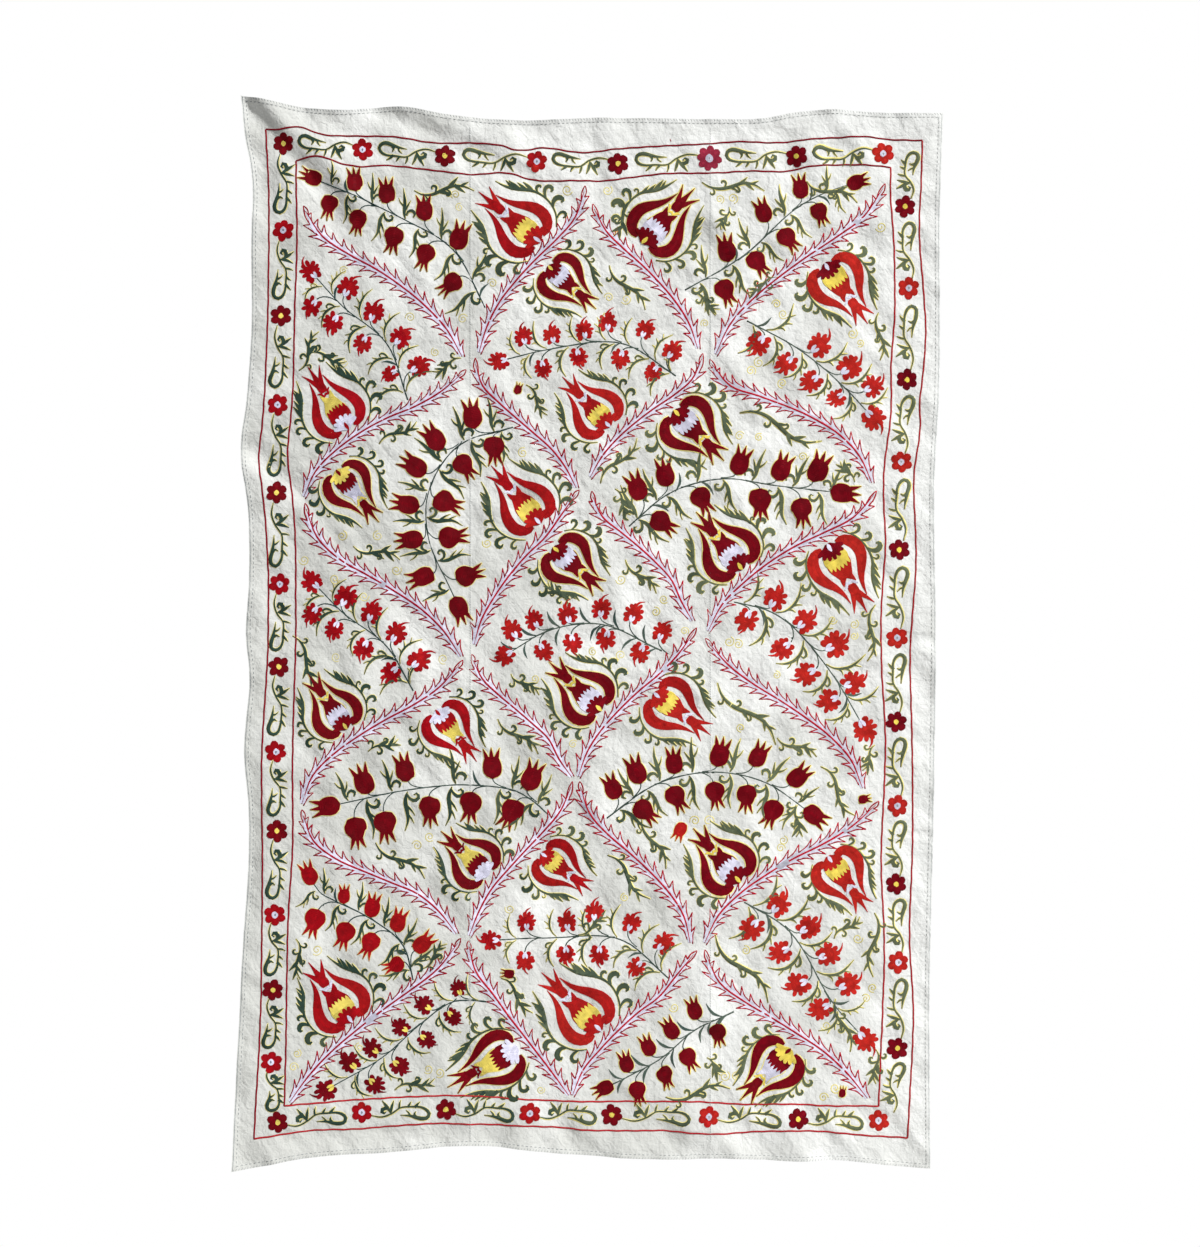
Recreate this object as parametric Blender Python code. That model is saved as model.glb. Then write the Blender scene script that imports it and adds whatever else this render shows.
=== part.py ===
# A suzani hanging: three loom widths of cotton cloth, sewn edge to edge and hung by the top edge.
# The face looks along -Y, +X runs to the right of someone who looks at it, and Z is up.
# The origin is the middle of the top edge. Table entries are in millimetres, and "drop" is
# measured down from the origin. A positive depth stands out towards the viewer.

from collections import namedtuple

import bmesh
import bpy
import numpy as np

MM = 0.001

CLOTH_THICKNESS = 1.8 * MM
SEAM_GAP = 0.3 * MM
SEAM_X = {"left": -244, "right": 253}
CELLS_ACROSS_WIDTH = 16

CLOTH_COLOUR = (0.67, 0.68, 0.66, 1.0)
CLOTH_ROUGHNESS = 0.92

RowBand = namedtuple("RowBand", "part_of_drop rows")
EdgePoint = namedtuple("EdgePoint", "along out")
Fold = namedtuple("Fold", "x drop to_x to_drop bow narrow wide depth")
Crease = namedtuple("Crease", "drop reach depth")
Swell = namedtuple("Swell", "x drop half_width half_height depth")

# Rows of the mesh: closer together where the folds are.
ROW_BANDS = (
    RowBand(0.28, 24),
    RowBand(0.62, 28),
    RowBand(0.10, 8),
)

# Top edge: along is X and out is the drop. It is held at both corners and at two places between.
TOP_EDGE = (
    EdgePoint(-720, -48),
    EdgePoint(-658, -36),
    EdgePoint(-596, -23),
    EdgePoint(-511, -17),
    EdgePoint(-385, -23),
    EdgePoint(-296, -8),
    EdgePoint(-209, 2),
    EdgePoint(-110, 4),
    EdgePoint(0, 0),
    EdgePoint(273, 2),
    EdgePoint(371, 0),
    EdgePoint(430, -12),
    EdgePoint(509, -17),
    EdgePoint(586, -12),
    EdgePoint(735, -10),
)

# Bottom hem: along is X and out is the drop.
BOTTOM_EDGE = (
    EdgePoint(-737, 2180),
    EdgePoint(-673, 2169),
    EdgePoint(-619, 2158),
    EdgePoint(-555, 2149),
    EdgePoint(-422, 2142),
    EdgePoint(-238, 2128),
    EdgePoint(-79, 2142),
    EdgePoint(190, 2156),
    EdgePoint(279, 2153),
    EdgePoint(428, 2159),
    EdgePoint(518, 2157),
    EdgePoint(638, 2169),
    EdgePoint(708, 2174),
)

# Left edge: along is the drop and out is X.
LEFT_EDGE = (
    EdgePoint(-48, -720),
    EdgePoint(47, -709),
    EdgePoint(97, -699),
    EdgePoint(273, -697),
    EdgePoint(447, -697),
    EdgePoint(584, -707),
    EdgePoint(683, -719),
    EdgePoint(809, -704),
    EdgePoint(961, -702),
    EdgePoint(1081, -708),
    EdgePoint(1136, -702),
    EdgePoint(1329, -712),
    EdgePoint(1406, -705),
    EdgePoint(1764, -717),
    EdgePoint(2000, -729),
    EdgePoint(2180, -737),
)

# Right edge: along is the drop and out is X.
RIGHT_EDGE = (
    EdgePoint(-10, 735),
    EdgePoint(170, 729),
    EdgePoint(584, 726),
    EdgePoint(729, 718),
    EdgePoint(1081, 720),
    EdgePoint(1288, 718),
    EdgePoint(1557, 713),
    EdgePoint(1733, 708),
    EdgePoint(2174, 708),
)

# Drag folds start full at the place that the weight pulls from, widen and die out.
DRAG_FOLDS = (
    Fold(-708, -37, -320, 500, 14, 15, 32, -11),
    Fold(-680, -38, -270, 455, 20, 15, 32, 9),
    Fold(-716, -20, -600, 450, 0, 15, 30, -6),
    Fold(-582, -14, -160, 300, 20, 15, 28, -7),
    Fold(-385, -23, -40, 130, 8, 15, 28, 8),
    Fold(-440, -18, -40, 185, 10, 15, 28, -10),
    Fold(-141, 10, 20, 120, 0, 15, 22, -5),
    Fold(-718, 680, -285, 1105, 26, 16, 34, -6),
    Fold(-705, 725, -380, 1090, 18, 16, 34, 5),
    Fold(509, -17, 330, 240, 10, 18, 40, 5),
    Fold(509, -17, 640, 260, -10, 18, 40, 4),
    Fold(735, -8, 560, 330, 14, 16, 36, 4),
)

# Standing folds fade out at both ends: down the side margins and along the loose bottom hem.
STANDING_FOLDS = (
    Fold(10, -30, 28, 250, 0, 16, 18, -4),
    Fold(-687, 640, -682, 1230, 0, 18, 18, 4),
    Fold(-697, 1300, -701, 1720, 0, 16, 16, -5),
    Fold(-672, 1270, -680, 1800, 0, 18, 18, 4),
    Fold(684, 1400, 700, 1690, 0, 18, 18, -5),
    Fold(300, 1600, 425, 1890, 0, 26, 30, 4),
    Fold(-720, 2120, -40, 2122, 12, 17, 17, -6),
    Fold(-110, 2030, 45, 2190, 0, 18, 20, -7),
    Fold(20, 1980, 260, 2190, 0, 20, 22, -6),
    Fold(140, 2000, 310, 2190, 0, 18, 20, 5),
    Fold(280, 2030, 400, 2190, 0, 18, 20, -5),
    Fold(350, 1990, 500, 2190, 0, 18, 22, 5),
    Fold(560, 2040, 720, 2200, 0, 20, 24, -5),
)

# Storage creases: the cloth was kept folded, and still bends a little along these level lines.
STORAGE_CREASES = (
    Crease(493, 60, 3.0),
    Crease(1081, 45, -3.5),
    Crease(1737, 60, 2.5),
)

# Swells: the wide, slow unevenness of cloth that hangs free of what is behind it.
SWELLS = (
    Swell(-420, 420, 240, 260, 5),
    Swell(120, 640, 300, 320, -4),
    Swell(520, 860, 220, 300, 4),
    Swell(-380, 1420, 260, 300, -4),
    Swell(180, 1500, 320, 280, 5),
    Swell(560, 2010, 240, 220, 6),
    Swell(-700, 2150, 160, 200, 8),
)


def edge_value(edge, share):
    """Smooth curve through an edge's points, read at a share (0 to 1) of its length."""
    keys, values = np.array(edge, dtype=float).T
    slopes = np.gradient(values, keys)
    at = keys[0] + (keys[-1] - keys[0]) * share
    left = np.clip(np.searchsorted(keys, at) - 1, 0, len(keys) - 2)
    step = keys[left + 1] - keys[left]
    t = (at - keys[left]) / step
    start = (1 + 2 * t) * (1 - t) ** 2 * values[left] + t * (1 - t) ** 2 * step * slopes[left]
    end = t * t * (3 - 2 * t) * values[left + 1] + t * t * (t - 1) * step * slopes[left + 1]
    return start + end


def along_and_across(x, drop, fold):
    """Share of a fold's length that a point is at, and its distance from the bowed crest."""
    run_x, run_drop = fold.to_x - fold.x, fold.to_drop - fold.drop
    length = np.hypot(run_x, run_drop)
    along = ((x - fold.x) * run_x + (drop - fold.drop) * run_drop) / length ** 2
    across = ((x - fold.x) * run_drop - (drop - fold.drop) * run_x) / length
    inside = np.clip(along, 0, 1)
    return along, across - fold.bow * 4 * inside * (1 - inside)


def bell(distance, half_width):
    return np.exp(-0.5 * (distance / half_width) ** 2)


def drag_fold_depth(x, drop, fold):
    """A bell-shaped ridge or trough that is full at its start and gone at its end."""
    along, across = along_and_across(x, drop, fold)
    inside = np.clip(along, 0, 1)
    half_width = fold.narrow + (fold.wide - fold.narrow) * inside
    before_start = np.minimum(along, 0) * np.hypot(fold.to_x - fold.x, fold.to_drop - fold.drop)
    strength = np.cos(inside * np.pi / 2) ** 1.5 * bell(before_start, fold.narrow)
    return fold.depth * strength * bell(across, half_width)


def standing_fold_depth(x, drop, fold):
    """A bell-shaped ridge or trough that rises and fades as a half wave along its length."""
    along, across = along_and_across(x, drop, fold)
    inside = np.clip(along, 0, 1)
    half_width = fold.narrow + (fold.wide - fold.narrow) * inside
    return fold.depth * np.sin(inside * np.pi) * bell(across, half_width)


def cloth_depth(x, drop):
    """How far the cloth stands out at a place, in millimetres."""
    depth = sum(drag_fold_depth(x, drop, fold) for fold in DRAG_FOLDS)
    depth += sum(standing_fold_depth(x, drop, fold) for fold in STANDING_FOLDS)
    for crease in STORAGE_CREASES:
        depth += crease.depth * np.exp(-np.abs(drop - crease.drop) / crease.reach)
    for swell in SWELLS:
        depth += (swell.depth * bell(x - swell.x, swell.half_width)
                  * bell(drop - swell.drop, swell.half_height))
    return depth


def hung_points(left_x, right_x, across, down):
    """Points in metres on a loom width, at shares across it and down the cloth."""
    edge_left = edge_value(LEFT_EDGE, down)
    edge_right = edge_value(RIGHT_EDGE, down)
    from_x = edge_left if left_x is None else left_x
    to_x = edge_right if right_x is None else right_x
    x = from_x + (to_x - from_x) * across
    share = (x - edge_left) / (edge_right - edge_left)
    drop = edge_value(TOP_EDGE, share) * (1 - down) + edge_value(BOTTOM_EDGE, share) * down
    return np.column_stack((x, -cloth_depth(x, drop), -drop)) * MM


def row_shares():
    """Shares of the drop at which the rows of the mesh lie."""
    shares, start = [0.0], 0.0
    for band in ROW_BANDS:
        steps = np.arange(1, band.rows + 1) / band.rows
        shares.extend(start + band.part_of_drop * steps)
        start += band.part_of_drop
    return np.array(shares)


def cloth_material(name):
    material = bpy.data.materials.new(name)
    material.use_nodes = True
    shader = material.node_tree.nodes["Principled BSDF"]
    shader.inputs["Base Color"].default_value = CLOTH_COLOUR
    shader.inputs["Roughness"].default_value = CLOTH_ROUGHNESS
    shader.inputs["Metallic"].default_value = 0.0
    material.diffuse_color = CLOTH_COLOUR
    return material


def add_loom_width(name, left_x, right_x, parts):
    """One loom width: a grid hung on the edges and folds, then pushed back by its thickness."""
    rows = row_shares()
    sheet = bmesh.new()
    bmesh.ops.create_grid(sheet, x_segments=CELLS_ACROSS_WIDTH, y_segments=len(rows) - 1, size=0.5)
    flat = np.array([vertex.co for vertex in sheet.verts])
    across = flat[:, 0] + 0.5
    row = np.rint((0.5 - flat[:, 1]) * (len(rows) - 1)).astype(int)
    for vertex, place in zip(sheet.verts, hung_points(left_x, right_x, across, rows[row])):
        vertex.co = place

    # Both faces get the same triangles, so the cloth is as thick in a fold as beside it.
    bmesh.ops.triangulate(sheet, faces=sheet.faces, quad_method="SHORT_EDGE")
    pushed = bmesh.ops.extrude_face_region(sheet, geom=sheet.faces, use_keep_orig=True)
    back = [item for item in pushed["geom"] if isinstance(item, bmesh.types.BMVert)]
    bmesh.ops.translate(sheet, verts=back, vec=(0, CLOTH_THICKNESS, 0))
    bmesh.ops.recalc_face_normals(sheet, faces=sheet.faces)

    mesh = bpy.data.meshes.new(name)
    sheet.to_mesh(mesh)
    sheet.free()
    mesh.shade_smooth()
    mesh.set_sharp_from_angle(angle=np.radians(60))
    mesh.materials.append(cloth_material(name + "_cotton"))
    width = bpy.data.objects.new(name, mesh)
    parts.objects.link(width)
    return width


def build_suzani():
    for old in list(bpy.data.objects):
        bpy.data.objects.remove(old)
    parts = bpy.data.collections.new("suzani")
    bpy.context.scene.collection.children.link(parts)

    half_gap = SEAM_GAP / MM / 2
    left_seam, right_seam = SEAM_X["left"], SEAM_X["right"]
    add_loom_width("ground_left", None, left_seam - half_gap, parts)
    add_loom_width("ground_middle", left_seam + half_gap, right_seam - half_gap, parts)
    add_loom_width("ground_right", right_seam + half_gap, None, parts)


build_suzani()
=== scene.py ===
import bpy
import numpy as np
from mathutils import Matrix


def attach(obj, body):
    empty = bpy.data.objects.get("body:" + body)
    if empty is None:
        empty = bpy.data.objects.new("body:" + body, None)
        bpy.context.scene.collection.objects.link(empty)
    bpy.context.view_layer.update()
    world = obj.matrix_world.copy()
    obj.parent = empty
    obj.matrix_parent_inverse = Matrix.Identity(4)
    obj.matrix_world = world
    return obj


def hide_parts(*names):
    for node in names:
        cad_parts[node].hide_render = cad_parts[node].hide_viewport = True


# Silk embroidery and cotton ground for the suzani. Tables are in millimetres on the hung cloth:
# x to the right of the middle of the top edge, drop down from it. Depth stands out to the viewer.
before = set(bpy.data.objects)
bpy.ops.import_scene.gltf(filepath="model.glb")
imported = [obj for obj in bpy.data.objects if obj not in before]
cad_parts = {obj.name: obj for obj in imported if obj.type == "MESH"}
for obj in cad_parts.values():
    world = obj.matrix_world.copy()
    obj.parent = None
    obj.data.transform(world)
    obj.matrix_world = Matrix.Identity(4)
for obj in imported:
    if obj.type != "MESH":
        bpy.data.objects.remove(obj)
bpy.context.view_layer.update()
mm = 0.001
chance = np.random.default_rng(41)      # one seed, so that each run sews the same cloth

# each thread as seen on the left of the cloth and on the right, 0 to 255
threadColours = {
    "wine": ((112, 0, 14), (118, 0, 18)),
    "scarlet": ((158, 4, 18), (190, 38, 30)),
    "rose": ((150, 38, 60), (154, 44, 66)),
    "green": ((46, 66, 56), (98, 107, 82)),
    "stem": ((42, 66, 64), (90, 104, 92)),
    "yellow": ((232, 212, 104), (238, 214, 92)),
    "outline": ((224, 212, 144), (240, 226, 138)),
    "lilac": ((220, 219, 240), (224, 222, 240)),
    "feather": ((216, 215, 234), (220, 219, 234)),
    "branch": ((156, 4, 38), (188, 26, 48)),
    "border": ((134, 10, 30), (172, 38, 44)),
    "hem": ((110, 120, 128), (156, 162, 162)),
    "seam": ((140, 146, 148), (158, 162, 160)),
}
colourDrift = {
    "crossing": 900,          # mm over which the left colour turns into the right one
    "uneven": 0.16,           # how far that turn wavers from form to form
    "strength": (0.88, 1.12),
}


def linear(colour):
    # screen value to light value: ((c + 0.055) / 1.055) to the power 2.4
    c = np.array(colour, float) / 255
    return np.where(c > 0.04045, ((c + 0.055) / 1.055) ** 2.4, c / 12.92)


def threadColourAt(name, x):
    # the thread's colour at a place: from its left colour to its right one across the cloth, and uneven at
    # random from form to form
    left, right = threadColours[name]
    share = np.clip(0.5 + x / colourDrift["crossing"] + chance.normal(0, colourDrift["uneven"]), 0, 1)
    mixed = linear(left) * (1 - share) + linear(right) * share
    return mixed * chance.uniform(*colourDrift["strength"])


# how the cloth hangs
drape = {
    "seamLeft": -244,
    "seamRight": 253,
    "seamGap": 0.1,
    "topEdge": [          # x, drop
        (-720, -48), (-658, -36), (-596, -23), (-511, -17), (-385, -23), (-296, -8), (-209, 2),
        (-110, 4), (0, 0), (273, 2), (371, 0), (430, -12), (509, -17), (586, -12), (735, -10),
    ],
    "bottomEdge": [       # x, drop
        (-737, 2180), (-673, 2169), (-619, 2158), (-555, 2149), (-422, 2142), (-238, 2128),
        (-79, 2142), (190, 2156), (279, 2153), (428, 2159), (518, 2157), (638, 2169), (708, 2174),
    ],
    "leftEdge": [         # drop, x
        (-48, -720), (47, -709), (97, -699), (273, -697), (447, -697), (584, -707), (683, -719),
        (809, -704), (961, -702), (1081, -708), (1136, -702), (1329, -712), (1406, -705),
        (1764, -717), (2000, -729), (2180, -737),
    ],
    "rightEdge": [        # drop, x
        (-10, 735), (170, 729), (584, 726), (729, 718), (1081, 720), (1288, 718), (1557, 713),
        (1733, 708), (2174, 708),
    ],
    "dragFolds": [        # x, drop, to x, to drop, bow, narrow, wide, depth
        (-708, -37, -320, 500, 14, 15, 32, -11),
        (-680, -38, -270, 455, 20, 15, 32, 9),
        (-716, -20, -600, 450, 0, 15, 30, -6),
        (-582, -14, -160, 300, 20, 15, 28, -7),
        (-385, -23, -40, 130, 8, 15, 28, 8),
        (-440, -18, -40, 185, 10, 15, 28, -10),
        (-141, 10, 20, 120, 0, 15, 22, -5),
        (-718, 680, -285, 1105, 26, 16, 34, -6),
        (-705, 725, -380, 1090, 18, 16, 34, 5),
        (509, -17, 330, 240, 10, 18, 40, 5),
        (509, -17, 640, 260, -10, 18, 40, 4),
        (735, -8, 560, 330, 14, 16, 36, 4),
    ],
    "standingFolds": [    # the same columns
        (10, -30, 28, 250, 0, 16, 18, -4),
        (-687, 640, -682, 1230, 0, 18, 18, 4),
        (-697, 1300, -701, 1720, 0, 16, 16, -5),
        (-672, 1270, -680, 1800, 0, 18, 18, 4),
        (684, 1400, 700, 1690, 0, 18, 18, -5),
        (300, 1600, 425, 1890, 0, 26, 30, 4),
        (-720, 2120, -40, 2122, 12, 17, 17, -6),
        (-110, 2030, 45, 2190, 0, 18, 20, -7),
        (20, 1980, 260, 2190, 0, 20, 22, -6),
        (140, 2000, 310, 2190, 0, 18, 20, 5),
        (280, 2030, 400, 2190, 0, 18, 20, -5),
        (350, 1990, 500, 2190, 0, 18, 22, 5),
        (560, 2040, 720, 2200, 0, 20, 24, -5),
    ],
    "creases": [(493, 60, 3.0), (1081, 45, -3.5), (1737, 60, 2.5)],   # drop, reach, depth
    "swells": [           # x, drop, half width, half height, depth
        (-420, 420, 240, 260, 5), (120, 640, 300, 320, -4), (520, 860, 220, 300, 4),
        (-380, 1420, 260, 300, -4), (180, 1500, 320, 280, 5), (560, 2010, 240, 220, 6),
        (-700, 2150, 160, 200, 8),
    ],
    "tucks": [            # x, drop, to x, to drop, half width, depth: short crisp folds
        (-650, 30, -520, 190, 8, -2.6), (-600, 10, -440, 230, 8, 2.4),
        (-560, 120, -430, 270, 9, -2.6), (-520, 210, -380, 400, 9, 2.4),
        (-470, 90, -330, 250, 8, -2.4), (-430, 250, -300, 430, 9, -2.6),
        (-380, 10, -250, 120, 8, 2.2), (-350, 130, -230, 290, 9, 2.2),
        (-330, 20, -180, 90, 8, -2.4), (-280, 130, -150, 240, 8, -2.4),
        (-190, 70, -70, 130, 8, 2.2), (-90, 140, 60, 250, 9, -2.2), (-60, 40, 40, 70, 8, -2.0),
        (-640, 740, -500, 900, 9, -2.4), (-560, 800, -430, 960, 9, 2.2),
        (-470, 900, -340, 1060, 9, -2.2), (-600, 960, -480, 1120, 9, 2.0),
        (-380, 700, -260, 840, 9, -2.0), (-640, 1330, -560, 1460, 9, -2.0),
        (-660, 2060, -560, 2130, 9, 2.4), (-470, 2090, -330, 2120, 8, -2.2),
        (-60, 2070, 40, 2150, 9, 2.4), (120, 2070, 210, 2150, 9, -2.4),
        (230, 2080, 320, 2150, 8, 2.2), (400, 2080, 480, 2155, 9, -2.4),
        (470, 2060, 560, 2150, 9, 2.2), (620, 1880, 700, 2010, 9, -2.2),
        (640, 2060, 700, 2150, 8, 2.2), (480, 20, 440, 110, 8, -2.0), (560, 20, 600, 120, 8, -2.0),
        (690, 80, 640, 220, 8, 2.0), (120, 20, 130, 110, 7, -1.8), (330, 0, 335, 60, 7, -1.8),
        (660, 1086, 730, 1084, 6, -3.4), (664, 1108, 728, 1114, 7, 3.0),
        (672, 1424, 718, 1470, 7, -2.6), (668, 1488, 722, 1490, 6, -2.8),
        (670, 1208, 726, 1214, 7, -2.0), (668, 1356, 720, 1364, 7, -2.0),
        (666, 846, 728, 858, 7, -2.0), (660, 490, 734, 486, 6, -2.6), (664, 604, 730, 612, 7, -1.8),
    ],
    "ripples": 44,
    "rippleLengths": (34, 120),
    "rippleDepth": 0.005,     # share of the ripple's own length
    "tuckDepth": 1.3,         # times the depths above
    "tuckBow": 6,
    "pinFade": 1.5,           # how fast a drag fold fades from its pinned start
}


def edgeValue(edge, share):
    # cubic curve through an edge's points, each slope taken from its neighbours
    keys, values = np.array(edge, float).T
    slopes = np.gradient(values, keys)
    at = keys[0] + (keys[-1] - keys[0]) * share
    left = np.clip(np.searchsorted(keys, at) - 1, 0, len(keys) - 2)
    step = keys[left + 1] - keys[left]
    t = (at - keys[left]) / step
    start = (1 + 2 * t) * (1 - t) ** 2 * values[left] + t * (1 - t) ** 2 * step * slopes[left]
    end = t * t * (3 - 2 * t) * values[left + 1] + t * t * (t - 1) * step * slopes[left + 1]
    return start + end


def bell(distance, halfWidth):
    # the bell curve: e to the power of minus half the square of distance over half width
    return np.exp(-0.5 * (distance / halfWidth) ** 2)


def foldDepth(x, drop, fold, pinned):
    # a bell across a bowed line; along it a quarter wave, to a power, from a pinned start,
    # or else a half wave
    x0, d0, x1, d1, bow, narrow, wide, depth = fold
    length = np.hypot(x1 - x0, d1 - d0)
    along = ((x - x0) * (x1 - x0) + (drop - d0) * (d1 - d0)) / length ** 2
    across = ((x - x0) * (d1 - d0) - (drop - d0) * (x1 - x0)) / length
    inside = np.clip(along, 0, 1)
    across = across - bow * 4 * inside * (1 - inside)
    halfWidth = narrow + (wide - narrow) * inside
    if pinned:
        strength = np.cos(inside * np.pi / 2) ** drape["pinFade"]
        strength = strength * bell(np.minimum(along, 0) * length, narrow)
    else:
        strength = np.sin(inside * np.pi)
    return depth * strength * bell(across, halfWidth)


rippleTurns = chance.uniform(0, np.pi, drape["ripples"])
rippleLengths = chance.uniform(*drape["rippleLengths"], drape["ripples"])
rippleStarts = chance.uniform(0, 2 * np.pi, drape["ripples"])


def clothDepth(x, drop):
    # folds, creases and swells of the hung cloth, plus many faint waves in all directions
    depth = sum(foldDepth(x, drop, fold, True) for fold in drape["dragFolds"])
    depth = depth + sum(foldDepth(x, drop, fold, False) for fold in drape["standingFolds"])
    for at, reach, height in drape["creases"]:
        depth = depth + height * np.exp(-np.abs(drop - at) / reach)
    for atX, atDrop, halfWidth, halfHeight, height in drape["swells"]:
        depth = depth + height * bell(x - atX, halfWidth) * bell(drop - atDrop, halfHeight)
    for *ends, halfWidth, height in drape["tucks"]:
        fold = (*ends, drape["tuckBow"], halfWidth, halfWidth, height * drape["tuckDepth"])
        depth = depth + foldDepth(x, drop, fold, False)
    for turn, length, start in zip(rippleTurns, rippleLengths, rippleStarts):
        phase = 2 * np.pi / length * (x * np.cos(turn) + drop * np.sin(turn)) + start
        depth = depth + drape["rippleDepth"] * length * np.sin(phase)
    return depth


def onCloth(x, drop, lift):
    # a flat place on the chart, carried to the hung cloth and stood out by its lift
    return np.stack((x, -(clothDepth(x, drop) + lift), -drop), axis=-1) * mm


def fillMesh(name, points, faces, uv=None, colours=None):
    # faces: arrays of corner indices, one array for each number of corners
    mesh = bpy.data.meshes.new(name)
    corners = np.concatenate([f.ravel() for f in faces])
    sizes = np.concatenate([np.full(len(f), f.shape[1]) for f in faces])
    mesh.vertices.add(len(points))
    mesh.vertices.foreach_set("co", points.astype(np.float32).ravel())
    mesh.loops.add(len(corners))
    mesh.loops.foreach_set("vertex_index", corners.astype(np.int32))
    mesh.polygons.add(len(sizes))
    mesh.polygons.foreach_set("loop_start", (np.cumsum(sizes) - sizes).astype(np.int32))
    mesh.update(calc_edges=True)
    mesh.shade_smooth()
    if uv is not None:
        layer = mesh.uv_layers.new(name="UVMap")
        layer.uv.foreach_set("vector", uv[corners].astype(np.float32).ravel())
    if colours is not None:
        layer = mesh.attributes.new("thread", "FLOAT_COLOR", "POINT")
        rgba = np.column_stack((colours, np.ones(len(colours))))
        layer.data.foreach_set("color", rgba.astype(np.float32).ravel())
    piece = bpy.data.objects.new(name, mesh)
    bpy.context.scene.collection.objects.link(piece)
    return piece


# materials
def newMaterial(name):
    material = bpy.data.materials.new(name)
    material.use_nodes = True
    nodes = material.node_tree.nodes
    links = material.node_tree.links
    return material, nodes, links, nodes["Principled BSDF"]


def mathNode(nodes, links, operation, first, second=None):
    node = nodes.new("ShaderNodeMath")
    node.operation = operation
    for socket, value in zip(node.inputs, (first, second)):
        if value is None:
            continue
        if isinstance(value, (int, float)):
            socket.default_value = value
        else:
            links.new(value, socket)
    return node.outputs[0]


def noiseNode(nodes, links, vector, scale, detail, distortion=0.0):
    node = nodes.new("ShaderNodeTexNoise")
    node.inputs["Scale"].default_value = scale
    node.inputs["Detail"].default_value = detail
    node.inputs["Distortion"].default_value = distortion
    links.new(vector, node.inputs["Vector"])
    return node.outputs[0]


def wrinkleNode(nodes, links, vector, degrees, across, along):
    # noise drawn out along one direction of the cloth, sizes in metres
    turn = nodes.new("ShaderNodeMapping")
    turn.vector_type = "TEXTURE"
    turn.inputs["Rotation"].default_value = (0, np.radians(degrees), 0)
    turn.inputs["Scale"].default_value = (across, across, along)
    links.new(vector, turn.inputs["Vector"])
    return noiseNode(nodes, links, turn.outputs[0], *cottonLook["noises"]["wrinkles"])


def bumpNode(nodes, links, height, strength, distance, normal=None):
    node = nodes.new("ShaderNodeBump")
    node.inputs["Strength"].default_value = strength
    node.inputs["Distance"].default_value = distance
    links.new(height, node.inputs["Height"])
    if normal is not None:
        links.new(normal, node.inputs["Normal"])
    return node.outputs[0]


def splitUv(nodes, links):
    uv = nodes.new("ShaderNodeUVMap")
    uv.uv_map = "UVMap"
    split = nodes.new("ShaderNodeSeparateXYZ")
    links.new(uv.outputs[0], split.inputs[0])
    return split.outputs[0], split.outputs[1]


cottonLook = {
    "colour": (243, 244, 241),
    # shade is the ramp's darker end, for random patches and for the painted shade towards the lower left
    "shade": (213, 214, 209),
    "shadeEnds": (0.35, 0.65),    # patch values that are all shade and all colour
    "paintedLight": (0.22, 0, 0.08),     # painted light: paler towards the right and the top, as lit from the upper right, for each metre
    "paintedLightFrom": 0.09,
    "roughness": 0.92,
    "specular": 0.2,
    "threadPitch": 0.0006,
    "slubShare": 3.0,
    "wrinkles": [         # degrees from upright, across, along, share
        (-38, 0.020, 0.080, 0.45),
        (6, 0.015, 0.060, 0.35),
        (84, 0.018, 0.060, 0.30),
    ],
    "noises": {           # scale, detail, distortion
        "wrinkles": (1.0, 2.0, 0.35),
        "slubs": (420, 3),
        "puckers": (60, 4, 0.9),
        "patches": (5, 5),
    },
    "bumps": {            # strength, height in metres
        "wrinkles": (0.8, 0.008),
        "puckers": (0.6, 0.0052),
        "weave": (0.3, 0.0004),
    },
}


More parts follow.
